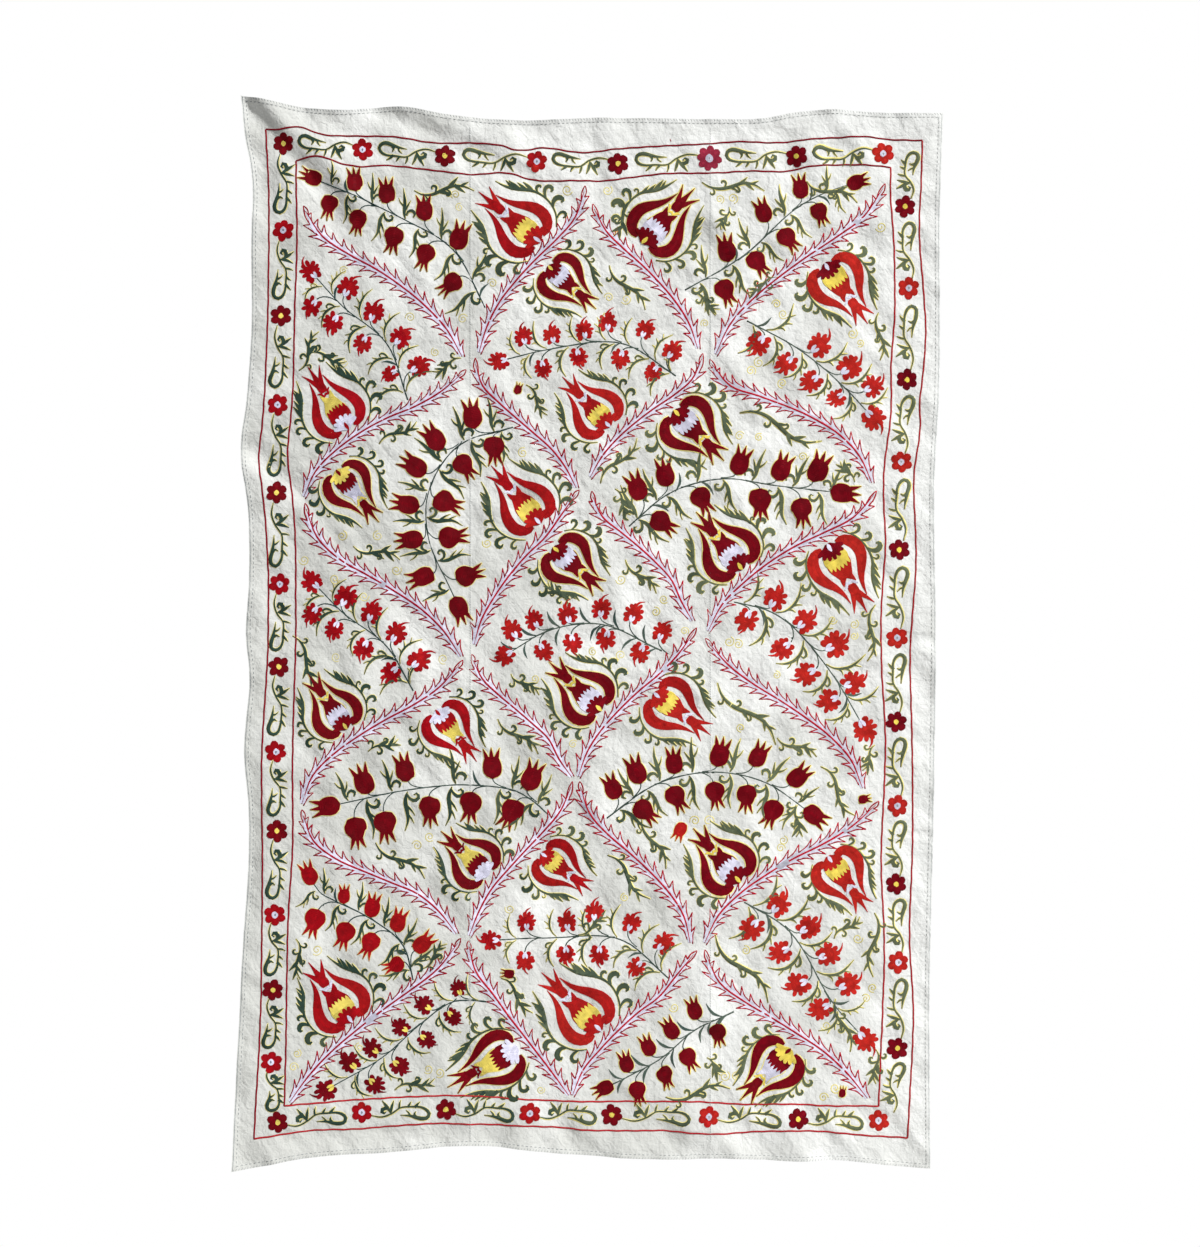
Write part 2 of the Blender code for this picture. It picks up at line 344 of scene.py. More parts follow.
def cottonMaterial():
    # plain weave: the product of two waves, one along each direction of the cloth
    material, nodes, links, shader = newMaterial("hand_woven_cotton")
    look = cottonLook
    noises, bumps = look["noises"], look["bumps"]
    along, across = splitUv(nodes, links)
    turn = np.pi / look["threadPitch"]
    warp = mathNode(nodes, links, "SINE", mathNode(nodes, links, "MULTIPLY", along, turn))
    weft = mathNode(nodes, links, "SINE", mathNode(nodes, links, "MULTIPLY", across, turn))
    weave = mathNode(nodes, links, "MULTIPLY", warp, weft)
    here = nodes.new("ShaderNodeTexCoord").outputs["Object"]
    slubs = noiseNode(nodes, links, here, *noises["slubs"])
    slubs = mathNode(nodes, links, "MULTIPLY", slubs, look["slubShare"])
    threads = mathNode(nodes, links, "ADD", weave, slubs)
    height = None
    for degrees, wide, long, share in look["wrinkles"]:
        wrinkle = wrinkleNode(nodes, links, here, degrees, wide, long)
        part = mathNode(nodes, links, "MULTIPLY", wrinkle, share)
        height = part if height is None else mathNode(nodes, links, "ADD", height, part)
    normal = bumpNode(nodes, links, height, *bumps["wrinkles"])
    puckers = noiseNode(nodes, links, here, *noises["puckers"])
    normal = bumpNode(nodes, links, puckers, *bumps["puckers"], normal)
    normal = bumpNode(nodes, links, threads, *bumps["weave"], normal)
    links.new(normal, shader.inputs["Normal"])
    patches = noiseNode(nodes, links, here, *noises["patches"])
    # painted light and shade: the ramp is pushed to the pale colour towards the right and the top and to the
    # shade colour towards the lower left, as the light falls from the upper right
    slope = nodes.new("ShaderNodeVectorMath")
    slope.operation = "DOT_PRODUCT"
    slope.inputs[1].default_value = look["paintedLight"]
    links.new(here, slope.inputs[0])
    paintedLight = mathNode(nodes, links, "ADD", slope.outputs["Value"], look["paintedLightFrom"])
    # random patches plus the painted light gradient
    patches = mathNode(nodes, links, "ADD", patches, paintedLight)
    ramp = nodes.new("ShaderNodeValToRGB")
    stops = ramp.color_ramp.elements
    stops[0].position, stops[1].position = look["shadeEnds"]
    stops[0].color = (*linear(look["shade"]), 1)
    stops[1].color = (*linear(look["colour"]), 1)
    links.new(patches, ramp.inputs[0])
    links.new(ramp.outputs[0], shader.inputs["Base Color"])
    shader.inputs["Roughness"].default_value = look["roughness"]
    shader.inputs["Specular IOR Level"].default_value = look["specular"]
    return material


silkLook = {
    "rowWidth": 1.6,        # mm between rows of chain stitch
    "linkLength": 3.4,
    "leastPinch": 0.8,
    "stitchHeight": 0.0004,
    "lineStrength": 0.45,
    "fillStrength": 0.7,
    "fibres": (900, 2),     # scale and detail of a noise
    "wear": (90, 4),
    "wearEnds": (0.3, 0.7), # noise values that are darkest and lightest
    "darkest": 0.76,
    "lightest": 1.16,
    "archPaintedLight": 0.3,        # painted light and shade: a row is painted lighter along its middle than in the gap beside it
    "gapPaintedShade": 0.8,
    "roughness": 0.65,
    "specular": 0.08,
}


def silkMaterial(name, strength):
    # rows of chain stitch: an arch across each row, pinched in where one link meets the next; the arch also
    # paints each row lighter along its middle and puts painted shade in the gaps
    material, nodes, links, shader = newMaterial(name)
    look = silkLook
    fromEdge, along = splitUv(nodes, links)
    row = mathNode(nodes, links, "MULTIPLY", fromEdge, np.pi / look["rowWidth"])
    arch = mathNode(nodes, links, "ABSOLUTE", mathNode(nodes, links, "SINE", row))
    link = mathNode(nodes, links, "MULTIPLY", along, np.pi / look["linkLength"])
    pinch = mathNode(nodes, links, "ABSOLUTE", mathNode(nodes, links, "SINE", link))
    pinch = mathNode(nodes, links, "ADD", pinch, look["leastPinch"])
    stitch = mathNode(nodes, links, "MULTIPLY", arch, pinch)
    here = nodes.new("ShaderNodeTexCoord").outputs["Object"]
    fibres = noiseNode(nodes, links, here, *look["fibres"])
    height = mathNode(nodes, links, "ADD", stitch, fibres)
    normal = bumpNode(nodes, links, height, strength, look["stitchHeight"])
    links.new(normal, shader.inputs["Normal"])
    dye = nodes.new("ShaderNodeAttribute")
    dye.attribute_name = "thread"
    worn = nodes.new("ShaderNodeMapRange")
    worn.inputs["From Min"].default_value = look["wearEnds"][0]
    worn.inputs["From Max"].default_value = look["wearEnds"][1]
    worn.inputs["To Min"].default_value = look["darkest"]
    worn.inputs["To Max"].default_value = look["lightest"]
    links.new(noiseNode(nodes, links, here, *look["wear"]), worn.inputs["Value"])
    # painted shade in the gaps between rows and painted light along their middles, times the random wear
    paintedRowShade = mathNode(nodes, links, "MULTIPLY", arch, look["archPaintedLight"])
    paintedRowShade = mathNode(nodes, links, "ADD", paintedRowShade, look["gapPaintedShade"])
    wearAndPaintedShade = mathNode(nodes, links, "MULTIPLY", worn.outputs[0], paintedRowShade)
    mixed = nodes.new("ShaderNodeVectorMath")
    mixed.operation = "SCALE"
    links.new(dye.outputs["Color"], mixed.inputs[0])
    links.new(wearAndPaintedShade, mixed.inputs["Scale"])
    links.new(mixed.outputs[0], shader.inputs["Base Color"])
    shader.inputs["Roughness"].default_value = look["roughness"]
    shader.inputs["Specular IOR Level"].default_value = look["specular"]
    return material


cotton = cottonMaterial()
lineSilk = silkMaterial("silk_line_stitch", silkLook["lineStrength"])
fillSilk = silkMaterial("silk_filling_stitch", silkLook["fillStrength"])
print("materials ready")


# the three loom widths
widthSize = {
    "thickness": 0.9,
    "hemWidth": 9,
    "hemRise": 0.5,
    "hemSlope": 0.8,                    # over this width the hem comes down to the cloth
    "hemSteps": (0, 4, 8.2, 9.8, 13),   # extra grid lines at an outer edge, then even ones
    "seamSteps": (0, 1.5, 5),
    "seamRise": 0.5,
    "seamHalf": 2.2,
    "columns": 58,
    "rows": 260,
    "sharpFrom": 60,                    # degrees
    "flatLength": 2.20,
}
loomWidths = [            # node, left x, right x (None is the cloth's own edge), flat width in metres
    ("ground_left", None, drape["seamLeft"] - drape["seamGap"] / 2, 0.476),
    ("ground_middle", drape["seamLeft"] + drape["seamGap"] / 2,
     drape["seamRight"] - drape["seamGap"] / 2, 0.500),
    ("ground_right", drape["seamRight"] + drape["seamGap"] / 2, None, 0.474),
]


def hungPlaces(leftX, rightX, across, down):
    # even between the two sides, and even between the top and the bottom edge at that place
    edgeLeft = edgeValue(drape["leftEdge"], down)
    edgeRight = edgeValue(drape["rightEdge"], down)
    fromX = edgeLeft if leftX is None else leftX
    toX = edgeRight if rightX is None else rightX
    x = fromX + (toX - fromX) * across
    share = (x - edgeLeft) / (edgeRight - edgeLeft)
    top = edgeValue(drape["topEdge"], share)
    bottom = edgeValue(drape["bottomEdge"], share)
    return x, top * (1 - down) + bottom * down, edgeLeft, edgeRight, top, bottom


def gridShares(length, count, startSteps, endSteps):
    # shares from 0 to 1 with close lines at both ends and even ones between
    start = np.array(startSteps) / length
    end = 1 - np.array(endSteps)[::-1] / length
    return np.concatenate((start[:-1], np.linspace(start[-1], end[0], count), end[1:]))


def loomWidth(node, leftX, rightX, flatWidth):
    # front face on the fold surface, back face behind it by the thickness;
    # both stand further out in the hem and, as a bell, along a seam
    size = widthSize
    leftSteps = size["hemSteps"] if leftX is None else size["seamSteps"]
    rightSteps = size["hemSteps"] if rightX is None else size["seamSteps"]
    columns = gridShares(flatWidth / mm, size["columns"], leftSteps, rightSteps)
    rows = gridShares(size["flatLength"] / mm, size["rows"], size["hemSteps"], size["hemSteps"])
    across, down = np.meshgrid(columns, rows)
    x, drop, left, right, top, bottom = hungPlaces(leftX, rightX, across, down)
    fromEdge = np.minimum.reduce((x - left, right - x, drop - top, bottom - drop))
    inHem = (size["hemWidth"] - fromEdge) / size["hemSlope"] + 0.5
    rise = size["hemRise"] * np.clip(inHem, 0, 1)
    fromSeam = np.minimum(np.abs(x - drape["seamLeft"]), np.abs(x - drape["seamRight"]))
    rise = rise + size["seamRise"] * bell(fromSeam, size["seamHalf"])
    front = onCloth(x, drop, rise)
    back = onCloth(x, drop, -size["thickness"] - rise)
    points = np.concatenate((front.reshape(-1, 3), back.reshape(-1, 3)))
    index = np.arange(x.size).reshape(x.shape)
    corners = (index[:-1, :-1], index[1:, :-1], index[1:, 1:], index[:-1, 1:])
    frontFaces = np.stack([c.ravel() for c in corners], 1)
    backFaces = frontFaces[:, ::-1] + x.size
    rim = np.concatenate((index[:, 0], index[-1, 1:], index[-2::-1, -1], index[0, -2:0:-1]))
    after = np.roll(rim, -1)
    rimFaces = np.stack((rim, rim + x.size, after + x.size, after), 1)
    uv = np.column_stack((x.ravel(), -drop.ravel())) * mm
    cloth = fillMesh(node.replace("ground", "cotton"), points,
                     [np.concatenate((frontFaces, backFaces, rimFaces))], np.tile(uv, (2, 1)))
    cloth.data.set_sharp_from_angle(angle=np.radians(size["sharpFrom"]))
    cloth.data.materials.append(cotton)
    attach(cloth, "root")
    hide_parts(node)
    print(cloth.name, 2 * len(cloth.data.polygons), "triangles")


for row in loomWidths:
    loomWidth(*row)


# sewing: every stitched form is a spine with a half width along it, kept until all are known
sewing = {
    "halves": (1.9, 6, 11, 20),         # half widths above which a form needs more places across it
    "across": (3, 4, 6, 10, 18),
    "flatAcross": 4,                    # places across a thin line with a flat top
    "under": {8: 2, 10: 2, 18: 4},      # how many of a broad form's places across lie under it
    "backWidths": {10: 8, 18: 10},      # places across at the back for those at the front
    "backMost": 5,
    "backFewest": 3,                    # places along at the back, or else half of the front's
    "backLift": 0.45,                   # times the lift at the front
    "leastHalf": 0.15,
    "domeFall": 0.15,                   # how much lower a form is at its sides
    "edgeRound": 0.6,
    "edgeSink": 0.18,
    "rimBelow": 6,                      # narrower forms have a whole wider one under them
    "rimLift": 0.5,
    "rimTuck": 1.2,                     # how far a yellow line runs in under its form
    "rimPlaces": 0.75,                  # places along a rim's form, times those of its own
    "rimFewest": 4,
    "sharpFrom": 40,                    # degrees
    "handShake": 0.35,
}
forms = {}


def smoothThrough(rows, count):
    # cubic pieces through all rows, spaced by the distance between their places
    rows = np.array(rows, float)
    keys = np.concatenate(([0], np.cumsum(np.hypot(*np.diff(rows[:, :2], axis=0).T))))
    slopes = np.gradient(rows, keys, axis=0)
    at = np.linspace(0, keys[-1], count)
    left = np.clip(np.searchsorted(keys, at, side="right") - 1, 0, len(keys) - 2)
    step = (keys[left + 1] - keys[left])[:, None]
    t = (at - keys[left])[:, None] / step
    return ((1 + 2 * t) * (1 - t) ** 2 * rows[left] + t * (1 - t) ** 2 * step * slopes[left]
            + t * t * (3 - 2 * t) * rows[left + 1] + t * t * (t - 1) * step * slopes[left + 1])


def spun(vector, degrees):
    # a direction turned on the chart, clockwise as seen
    angle = np.radians(degrees)
    return np.array((vector[0] * np.cos(angle) - vector[1] * np.sin(angle),
                     vector[0] * np.sin(angle) + vector[1] * np.cos(angle)))


def beside(path):
    # the direction square to a path, at each of its points
    way = np.gradient(path, axis=0)
    way = way / np.maximum(np.hypot(way[:, 0], way[:, 1]), 1e-6)[:, None]
    return np.column_stack((-way[:, 1], way[:, 0]))


def along(rows, share):
    # place and heading at a share of a row list's length
    places = 60
    path = smoothThrough(np.array(rows, float)[:, :2], places)
    at = min(int(share * (places - 1)), places - 2)
    heading = path[at + 1] - path[at]
    return path[at], heading / np.hypot(*heading)


def turned(rows, base, heading, scale=1.0, mirror=1):
    # local rows (sideways, onwards, half width) carried so that onwards follows the heading
    rows = np.array(rows, float)
    heading = np.array(heading, float) / np.hypot(*heading)
    side = np.array((-heading[1], heading[0])) * mirror
    places = np.array(base) + scale * (rows[:, :1] * side + rows[:, 1:2] * heading)
    places = places + chance.normal(0, sewing["handShake"], places.shape)
    return np.column_stack((places, rows[:, 2] * scale))


def sew(piece, rows, count, colour, lift, flat=False):
    # the broader the form, the more places across it; a thin line is a ridge unless it is flat
    form = smoothThrough(rows, count)
    breadth = np.searchsorted(sewing["halves"], form[:, 2].max())
    across = sewing["flatAcross"] if flat and breadth == 0 else sewing["across"][breadth]
    shade = threadColourAt(colour, form[0, 0])
    forms.setdefault((piece, across, count), []).append((form, shade, lift))


def sewRimmed(piece, rows, count, colour, lift, rim=1.6, shift=0.25):
    # a narrow form has a wider yellow one below it, a broad one a yellow line along each side
    sew(piece, rows, count, colour, lift)
    outlines = "leaf_outlines" if piece.startswith("green") else "flower_outlines"
    form = np.array(rows, float)
    lift = sewing["rimLift"]
    if form[:, 2].max() < sewing["rimBelow"]:
        form[:, 2] = form[:, 2] + rim
        form[:, :2] = form[:, :2] + chance.normal(0, shift, 2)
        count = max(sewing["rimFewest"], int(count * sewing["rimPlaces"]))
        sew(outlines, form, count, "outline", lift, True)
        return
    form = smoothThrough(form, count)
    tuck = sewing["rimTuck"]
    width = np.full(count, (rim + tuck) / 2)
    for side in (-1, 1):
        edge = form[:, :2] + side * beside(form[:, :2]) * form[:, 2:3]
        line = edge + side * beside(edge) * (rim - tuck) / 2
        sew(outlines, np.column_stack((line, width)), count, "outline", lift, True)


pieceOf = {"wine": "wine_fillings", "feather": "pale_fillings", "scarlet": "scarlet_fillings",
           "rose": "scarlet_fillings", "lilac": "pale_fillings", "yellow": "yellow_fillings"}

# leafy branches of the lattice
lattice = {
    "bendShares": (0.1, 0.25, 0.5, 0.75, 0.9),
    "axisPlaces": 90,
    "midrib": 2.2,
    "midribEnd": 0.8,
    "midribInside": (3, 12),    # how far from the root and from the tip it ends
    "fillHalf": 5.6,
    "fillEnd": 1.0,
    "fillInside": (4, 8),
    "barbPitch": 24.5,
    "barbReach": 35,
    "notchOut": 5.8,
    "tipOut": 21,
    "uneven": (0.92, 1.08),
    "unevenReach": (0.94, 1.08),
    "rootFull": 0.8,            # how full the barbs are at the root, and when they are full
    "rootTaper": 100,
    "taper": 90,                # length over which the barbs grow short towards the tip
    "shortest": 0.4,
    "spear": 42,                # bare length at the tip
    "line": 1.7,
    "thin": 1.2,                # a barb's line at its tip
    "flare": 0.27,              # how far out a barb's outer edge is at half its length
    "lifts": {"midrib": 1.1, "fill": 0.7, "outer": 0.95, "inner": 0.9, "heart": 0.65},
}
branches = [   # root x, root drop, tip x, tip drop, bends to the right of that line on the way up
    (-259, 497, -589, 182, (16, 24, 15, -12, -18)), (-226, 489, -6, 140, (-13, -21, -10, 13, 16)),
    (-590, 787, -252, 521, (-24, -35, -28, -1, 4)), (-23, 768, -233, 497, (7, 10, -5, -20, -21)),
    (228, 480, 10, 177, (13, 20, 13, -6, -11)), (263, 492, 615, 136, (-20, -27, -14, 10, 16)),
    (3, 746, 238, 487, (-9, -13, -3, 16, 18)), (588, 758, 252, 499, (25, 39, 27, -5, -20)),
    (-262, 1117, -586, 797, (11, 14, -7, -34, -27)), (-237, 1093, -18, 770, (-14, -21, -18, -1, -3)),
    (-594, 1423, -259, 1122, (-26, -34, -20, 5, 9)), (-32, 1366, -241, 1110, (0, 12, 2, -12, -14)),
    (218, 1044, 8, 772, (3, 17, 10, -8, -16)), (247, 1065, 597, 772, (-21, -30, -25, 2, 13)),
    (-21, 1366, 225, 1055, (-15, -23, -16, 2, 4)), (569, 1390, 243, 1077, (23, 32, 19, -3, -7)),
    (-271, 1691, -593, 1432, (11, 16, -11, -36, -30)), (-247, 1696, -32, 1373, (-9, -16, -5, 10, 12)),
    (-619, 2039, -263, 1698, (-10, -16, -8, 8, 12)), (-38, 2025, -247, 1703, (-2, -6, -14, -19, -20)),
    (212, 1710, -17, 1373, (18, 24, 8, -17, -18)), (240, 1710, 602, 1414, (-24, -34, -24, 0, 6)),
    (-33, 2025, 226, 1723, (-15, -19, -13, 4, -2)), (580, 2031, 242, 1721, (8, 12, -4, -26, -27)),
]


def branch(rootX, rootDrop, tipX, tipDrop, bends):
    # a bent axis; barbs are a saw-toothed line along both of its sides, filled with pale silk
    size, lifts = lattice, lattice["lifts"]
    root, tip = np.array((rootX, rootDrop), float), np.array((tipX, tipDrop), float)
    run = tip - root
    right = np.array((-run[1], run[0])) / np.hypot(*run)
    bent = [root + run * share + right * bend for share, bend in zip(size["bendShares"], bends)]
    axis = smoothThrough([root, *bent, tip], size["axisPlaces"])
    keys = np.concatenate(([0], np.cumsum(np.hypot(*np.diff(axis, axis=0).T))))
    length = keys[-1]
    normals = beside(axis)

    def off(at, out, half):
        # rows at distances along the axis and out to its side
        at = np.array(at, float)
        place = np.column_stack([np.interp(at, keys, column) for column in axis.T])
        normal = np.column_stack([np.interp(at, keys, column) for column in normals.T])
        return np.column_stack((place + normal * np.array(out, float)[:, None], half))

    def grown(at):
        # barbs are full along the middle, a little shorter at the root and short at the tip
        atTip = np.clip((length - at) / size["taper"], size["shortest"], 1)
        return atTip * np.clip(size["rootFull"] + at / size["rootTaper"], 0, 1)

    fromRoot, fromTip = size["midribInside"]
    ribs = np.linspace(fromRoot, length - fromTip, 8)
    half = np.full(len(ribs), size["midrib"])
    half[[0, -1]] = size["midribEnd"]
    sew("branch_lines", off(ribs, ribs * 0, half), 30, "branch", lifts["midrib"])
    fromRoot, fromTip = size["fillInside"]
    fill = np.linspace(fromRoot, length - fromTip, 12)
    half = size["fillHalf"] * grown(fill)
    half[-1] = size["fillEnd"]
    sew("pale_fillings", off(fill, fill * 0, half), 28, "feather", lifts["fill"])

    line, thin = size["line"], size["thin"]
    for side in (-1, 1):
        # each side's barbs start at its own place, so that the two sides alternate
        start = 0 if side > 0 else 0.45 * size["barbPitch"]
        while start < length - size["spear"]:
            pitch = size["barbPitch"] * chance.uniform(*size["uneven"])
            reach = size["barbReach"] * chance.uniform(*size["unevenReach"])
            reach = reach * (0.6 + 0.4 * grown(start))
            end, back = start + reach, start + pitch
            notch = size["notchOut"] * grown(start)
            nextNotch = size["notchOut"] * grown(back)
            out = size["tipOut"] * grown(start) * chance.uniform(*size["uneven"])
            # out along a hollow edge, back along a straighter one, and the pale heart between
            places = (start, start + 0.52 * reach, end)
            outer = side * np.array((notch, notch + size["flare"] * (out - notch), out))
            outer = off(places, outer, (line, line, thin))
            sew("branch_lines", outer, 6, "branch", lifts["outer"])
            places = (end, 0.45 * end + 0.55 * back, back)
            inner = side * np.array((out, 0.45 * out + 0.55 * nextNotch - 1, nextNotch))
            inner = off(places, inner, (thin, line, line))
            sew("branch_lines", inner, 4, "branch", lifts["inner"])
            heart = side * np.array((0.8 * notch, notch + 0.32 * (out - notch) - 3, 0.7 * out))
            heart = off((start + 6, back - 1, end - 7), heart, (2.2, 2.6, 0.8))
            sew("pale_fillings", heart, 4, "feather", lifts["heart"])
            start = back
        rest = length - start
        spear = off((start, start + 0.5 * rest, start + 0.8 * rest, length),
                    side * np.array((size["notchOut"] * grown(start), 4.6, 2.6, 0.2)),
                    (line, line, line, 0.9))
        sew("branch_lines", spear, 9, "branch", lifts["outer"])


for row in branches:
    branch(*row)
print("branches sewn")

# curls and thorns that stand off a stem: rows are away from the stem, along it, half width
shoots = {
    "curl": [(0, -3, 1.8), (7, 5, 3.0), (15, 9, 3.8), (22, 5, 4.0), (21, -3, 3.2), (15, -4, 1.2)],
    "bulb": [(0, -3, 2.0), (7, 6, 4.2), (15, 9, 5.4), (23, 5, 5.4), (24, -2, 3.8), (19, -4, 1.4)],
    "thorn": [(-1, -4, 3.2), (5, 4, 3.2), (12, 14, 0.4)],
}
shootSewing = {          # unevenness of the size, places along, width of the rim and its shift
    "curl": ((0.9, 1.1), 11, 0.95, 0.35),
    "bulb": ((0.9, 1.1), 11, 0.95, 0.35),
    "thorn": ((0.8, 1.2), 5, 0.9, 0.3),
}
greenLift = 1.0
scrollLift = 0.95


def shoot(kind, stem, share, size, mirror):
    uneven, count, rim, shift = shootSewing[kind]
    at, heading = along(stem, share)
    placed = turned(shoots[kind], at, heading, size * chance.uniform(*uneven), mirror)
    sewRimmed("green_leaves", placed, count, "green", greenLift, rim, shift)


# tulips
tulipSize = {
    "length": 158,
    "petal": [(15, 3, 2.5), (27, 5, 8), (39, 14, 11), (47, 29, 12.2), (47, 47, 11.6), (39, 68, 9.4),
              (28, 87, 6.6), (21, 105, 4), (17, 129, 0.6)],
    "calyx": [(0, 0, 5), (0, 6, 13), (0, 14, 18.5), (0, 22, 18), (0, 28, 11)],
    "calyxLobes": 7,
    "calyxFan": 72,           # degrees to either side
    "calyxMiddle": (0, 6),
    "calyxLobe": [(0, 8, 4.4), (0, 19, 4.8), (0, 25, 4.5), (0, 29, 2.6)],
    "drop": [(0, -1, 1), (0, 4, 3.6), (0, 10, 4.2), (0, 17, 1.6)],
    "band": [(0, 16, 19), (0, 28, 24), (0, 38, 25), (0, 46, 22.5)],
    "bandLobes": 6,
    "bandTop": (53, 4),       # reach of a middle lobe, and how much less the outermost reach
    "body": [(0, 41, 24), (0, 52, 23.5), (0, 66, 18), (0, 80, 12.5)],
    "horn": [(5, 74, 8), (10, 84, 4.6), (13, 93, 0.8)],
    "chevron": [(15, 99, 1.4), (9, 96, 2.6), (5, 88, 2.8), (-0.5, 91, 3)],
    "crown": [(0, 95, 7.5), (0, 101, 9.6), (0, 112, 9.8), (0, 124, 7), (0, 138, 3.8), (0, 161, 0.6)],
    "spike": [(3, 106, 4.6), (7, 119, 5.2), (13, 132, 3.6), (22, 150, 0.6)],
    "scroll": [(47, -6, 1.2), (65, 9, 1.9), (76, 28, 2.1), (80, 52, 2.3), (75, 76, 3.2),
               (62, 96, 4.4), (51, 112, 3.8), (44, 130, 2.2), (40, 148, 0.7)],
    "curls": [(0.13, 0.9), (0.26, 1.08), (0.39, 1.0), (0.50, 0.6)],      # share of the scroll, size
    "thorns": [(0.58, 1.1), (0.65, 1.25), (0.73, 1.25), (0.81, 1.0)],
    "bulbs": 0.45,            # share of the curls that are thick ones
    "scrollFollows": 0.4,     # how far the scrolls move out with a wide bowl
}
tulipParts = {           # thread, places along, lift, rimmed where the tulip has a yellow rim
    "petal": ("petals", 17, 1.1, True), "spike": ("petals", 7, 1.05, True),
    "horn": ("body", 5, 1.0, True), "chevron": ("chevron", 4, 1.3, False),
    "crown": ("petals", 10, 1.1, True), "body": ("body", 12, 1.0, True),
    "band": ("band", 10, 1.5, False), "bandLobe": ("band", 6, 1.9, False),
    "calyx": ("calyx", 8, 1.9, False), "calyxLobe": ("calyx", 6, 2.1, False),
    "drop": ("drop", 7, 2.6, False),
}
tulipThreads = {         # petals and crown, calyx, drop, band, body, chevron, yellow rim
    "red": ("scarlet", "scarlet", "lilac", "yellow", "scarlet", "lilac", 0),
    "redDarkFoot": ("scarlet", "wine", "lilac", "yellow", "scarlet", "lilac", 0),
    "redPaleFoot": ("scarlet", "lilac", "scarlet", "scarlet", "yellow", "scarlet", 0),
    "wine": ("wine", "wine", "yellow", "lilac", "wine", "yellow", 2.0),
    "wineYellowFoot": ("wine", "yellow", "wine", "wine", "lilac", "yellow", 1.8),
    "winePaleFoot": ("wine", "lilac", "lilac", "wine", "yellow", "wine", 1.4),
}
tulips = [               # threads, base x, base drop, crown x, crown drop, width of the bowl, of the scrolls
    ("red", -99, 257, -225, 154, 1.0, 0.95), ("wine", -83, 306, 15, 394, 1.07, 0.95),
    ("wine", 112, 259, 219, 147, 1.1, 0.95), ("redDarkFoot", 490, 301, 578, 424, 1.1, 0.82),
    ("redPaleFoot", -495, 645, -578, 517, 1.0, 0.95), ("wineYellowFoot", -521, 729, -435, 835, 1.04, 0.95),
    ("red", 46, 639, -51, 538, 1.08, 0.95), ("wine", 178, 605, 280, 708, 1.14, 0.95),
    ("red", -99, 840, -199, 721, 1.02, 0.95), ("wine", 320, 934, 226, 817, 1.14, 0.95),
    ("redDarkFoot", 495, 882, 576, 1021, 1.06, 0.82), ("wine", -72, 888, 30, 979, 1.12, 0.95),
    ("wine", -499, 1265, -579, 1152, 1.06, 0.95), ("wine", 28, 1227, -79, 1127, 1.1, 0.95),
    ("redPaleFoot", -315, 1226, -232, 1330, 1.08, 0.95), ("red", 136, 1190, 252, 1276, 1.08, 0.95),
    ("winePaleFoot", -206, 1568, -303, 1478, 1.14, 0.95), ("red", -97, 1521, 6, 1599, 1.06, 0.95),
    ("wine", 315, 1581, 219, 1472, 1.14, 0.95), ("red", 496, 1528, 577, 1641, 1.12, 0.82),
    ("red", -488, 1871, -576, 1749, 1.12, 0.95), ("red", 27, 1889, -94, 1771, 1.0, 0.95),
    ("winePaleFoot", -145, 1925, -288, 2005, 0.95, 0.78), ("wineYellowFoot", 419, 1926, 316, 2031, 1.08, 0.8),
]


def tulip(kind, baseX, baseDrop, tipX, tipDrop, bowl, spread):
    *threads, rim = tulipThreads[kind]
    threads = dict(zip(("petals", "calyx", "drop", "band", "body", "chevron"), threads))
    size = tulipSize
    base = (baseX, baseDrop)
    heading = (tipX - baseX, tipDrop - baseDrop)
    scale = np.hypot(*heading) / size["length"]

    def stitch(part, rows, mirror=1):
        role, count, lift, rimmed = tulipParts[part]
        colour = threads[role]
        placed = turned(np.array(rows, float) * (bowl, 1, bowl), base, heading, scale, mirror)
        if rim and rimmed:
            sewRimmed(pieceOf[colour], placed, count, colour, lift, rim)
        else:
            sew(pieceOf[colour], placed, count, colour, lift)

    for mirror in (-1, 1):
        for part in ("petal", "spike", "horn", "chevron"):
            stitch(part, size[part], mirror)
    for part in ("crown", "body", "band"):
        stitch(part, size[part])
    reach, fall = size["bandTop"]
    for lobe in np.linspace(-1, 1, size["bandLobes"]):
        # the reach falls with the square of the place across
        top = reach - fall * lobe ** 2
        stitch("bandLobe", [(lobe * 17, 36, 5.0), (lobe * 18, top - 6, 4.8), (lobe * 19, top, 3.6),
                            (lobe * 20, top + 6, 1.0)])
    stitch("calyx", size["calyx"])
    for lobe in np.linspace(-size["calyxFan"], size["calyxFan"], size["calyxLobes"]):
        rows = np.array(size["calyxLobe"])
        rows[:, :2] = rows[:, 1:2] * spun((0, 1), lobe) + size["calyxMiddle"]
        stitch("calyxLobe", rows)
    stitch("drop", size["drop"])

    wide = spread * (1 + size["scrollFollows"] * (bowl - 1))
    for mirror in (-1, 1):
        stem = turned(np.array(size["scroll"]) * (wide, 1, 1), base, heading, scale, mirror)
        sewRimmed("green_stems", stem, 20, "green", scrollLift, 0.9, 0.5)
        for share, reach in size["curls"]:
            shape = "bulb" if chance.random() < size["bulbs"] else "curl"
            shoot(shape, stem, share, reach * scale, mirror)
        for share, reach in size["thorns"]:
            shoot("thorn", stem, share, reach * scale, mirror)


for row in tulips:
    tulip(*row)
print("tulips sewn")

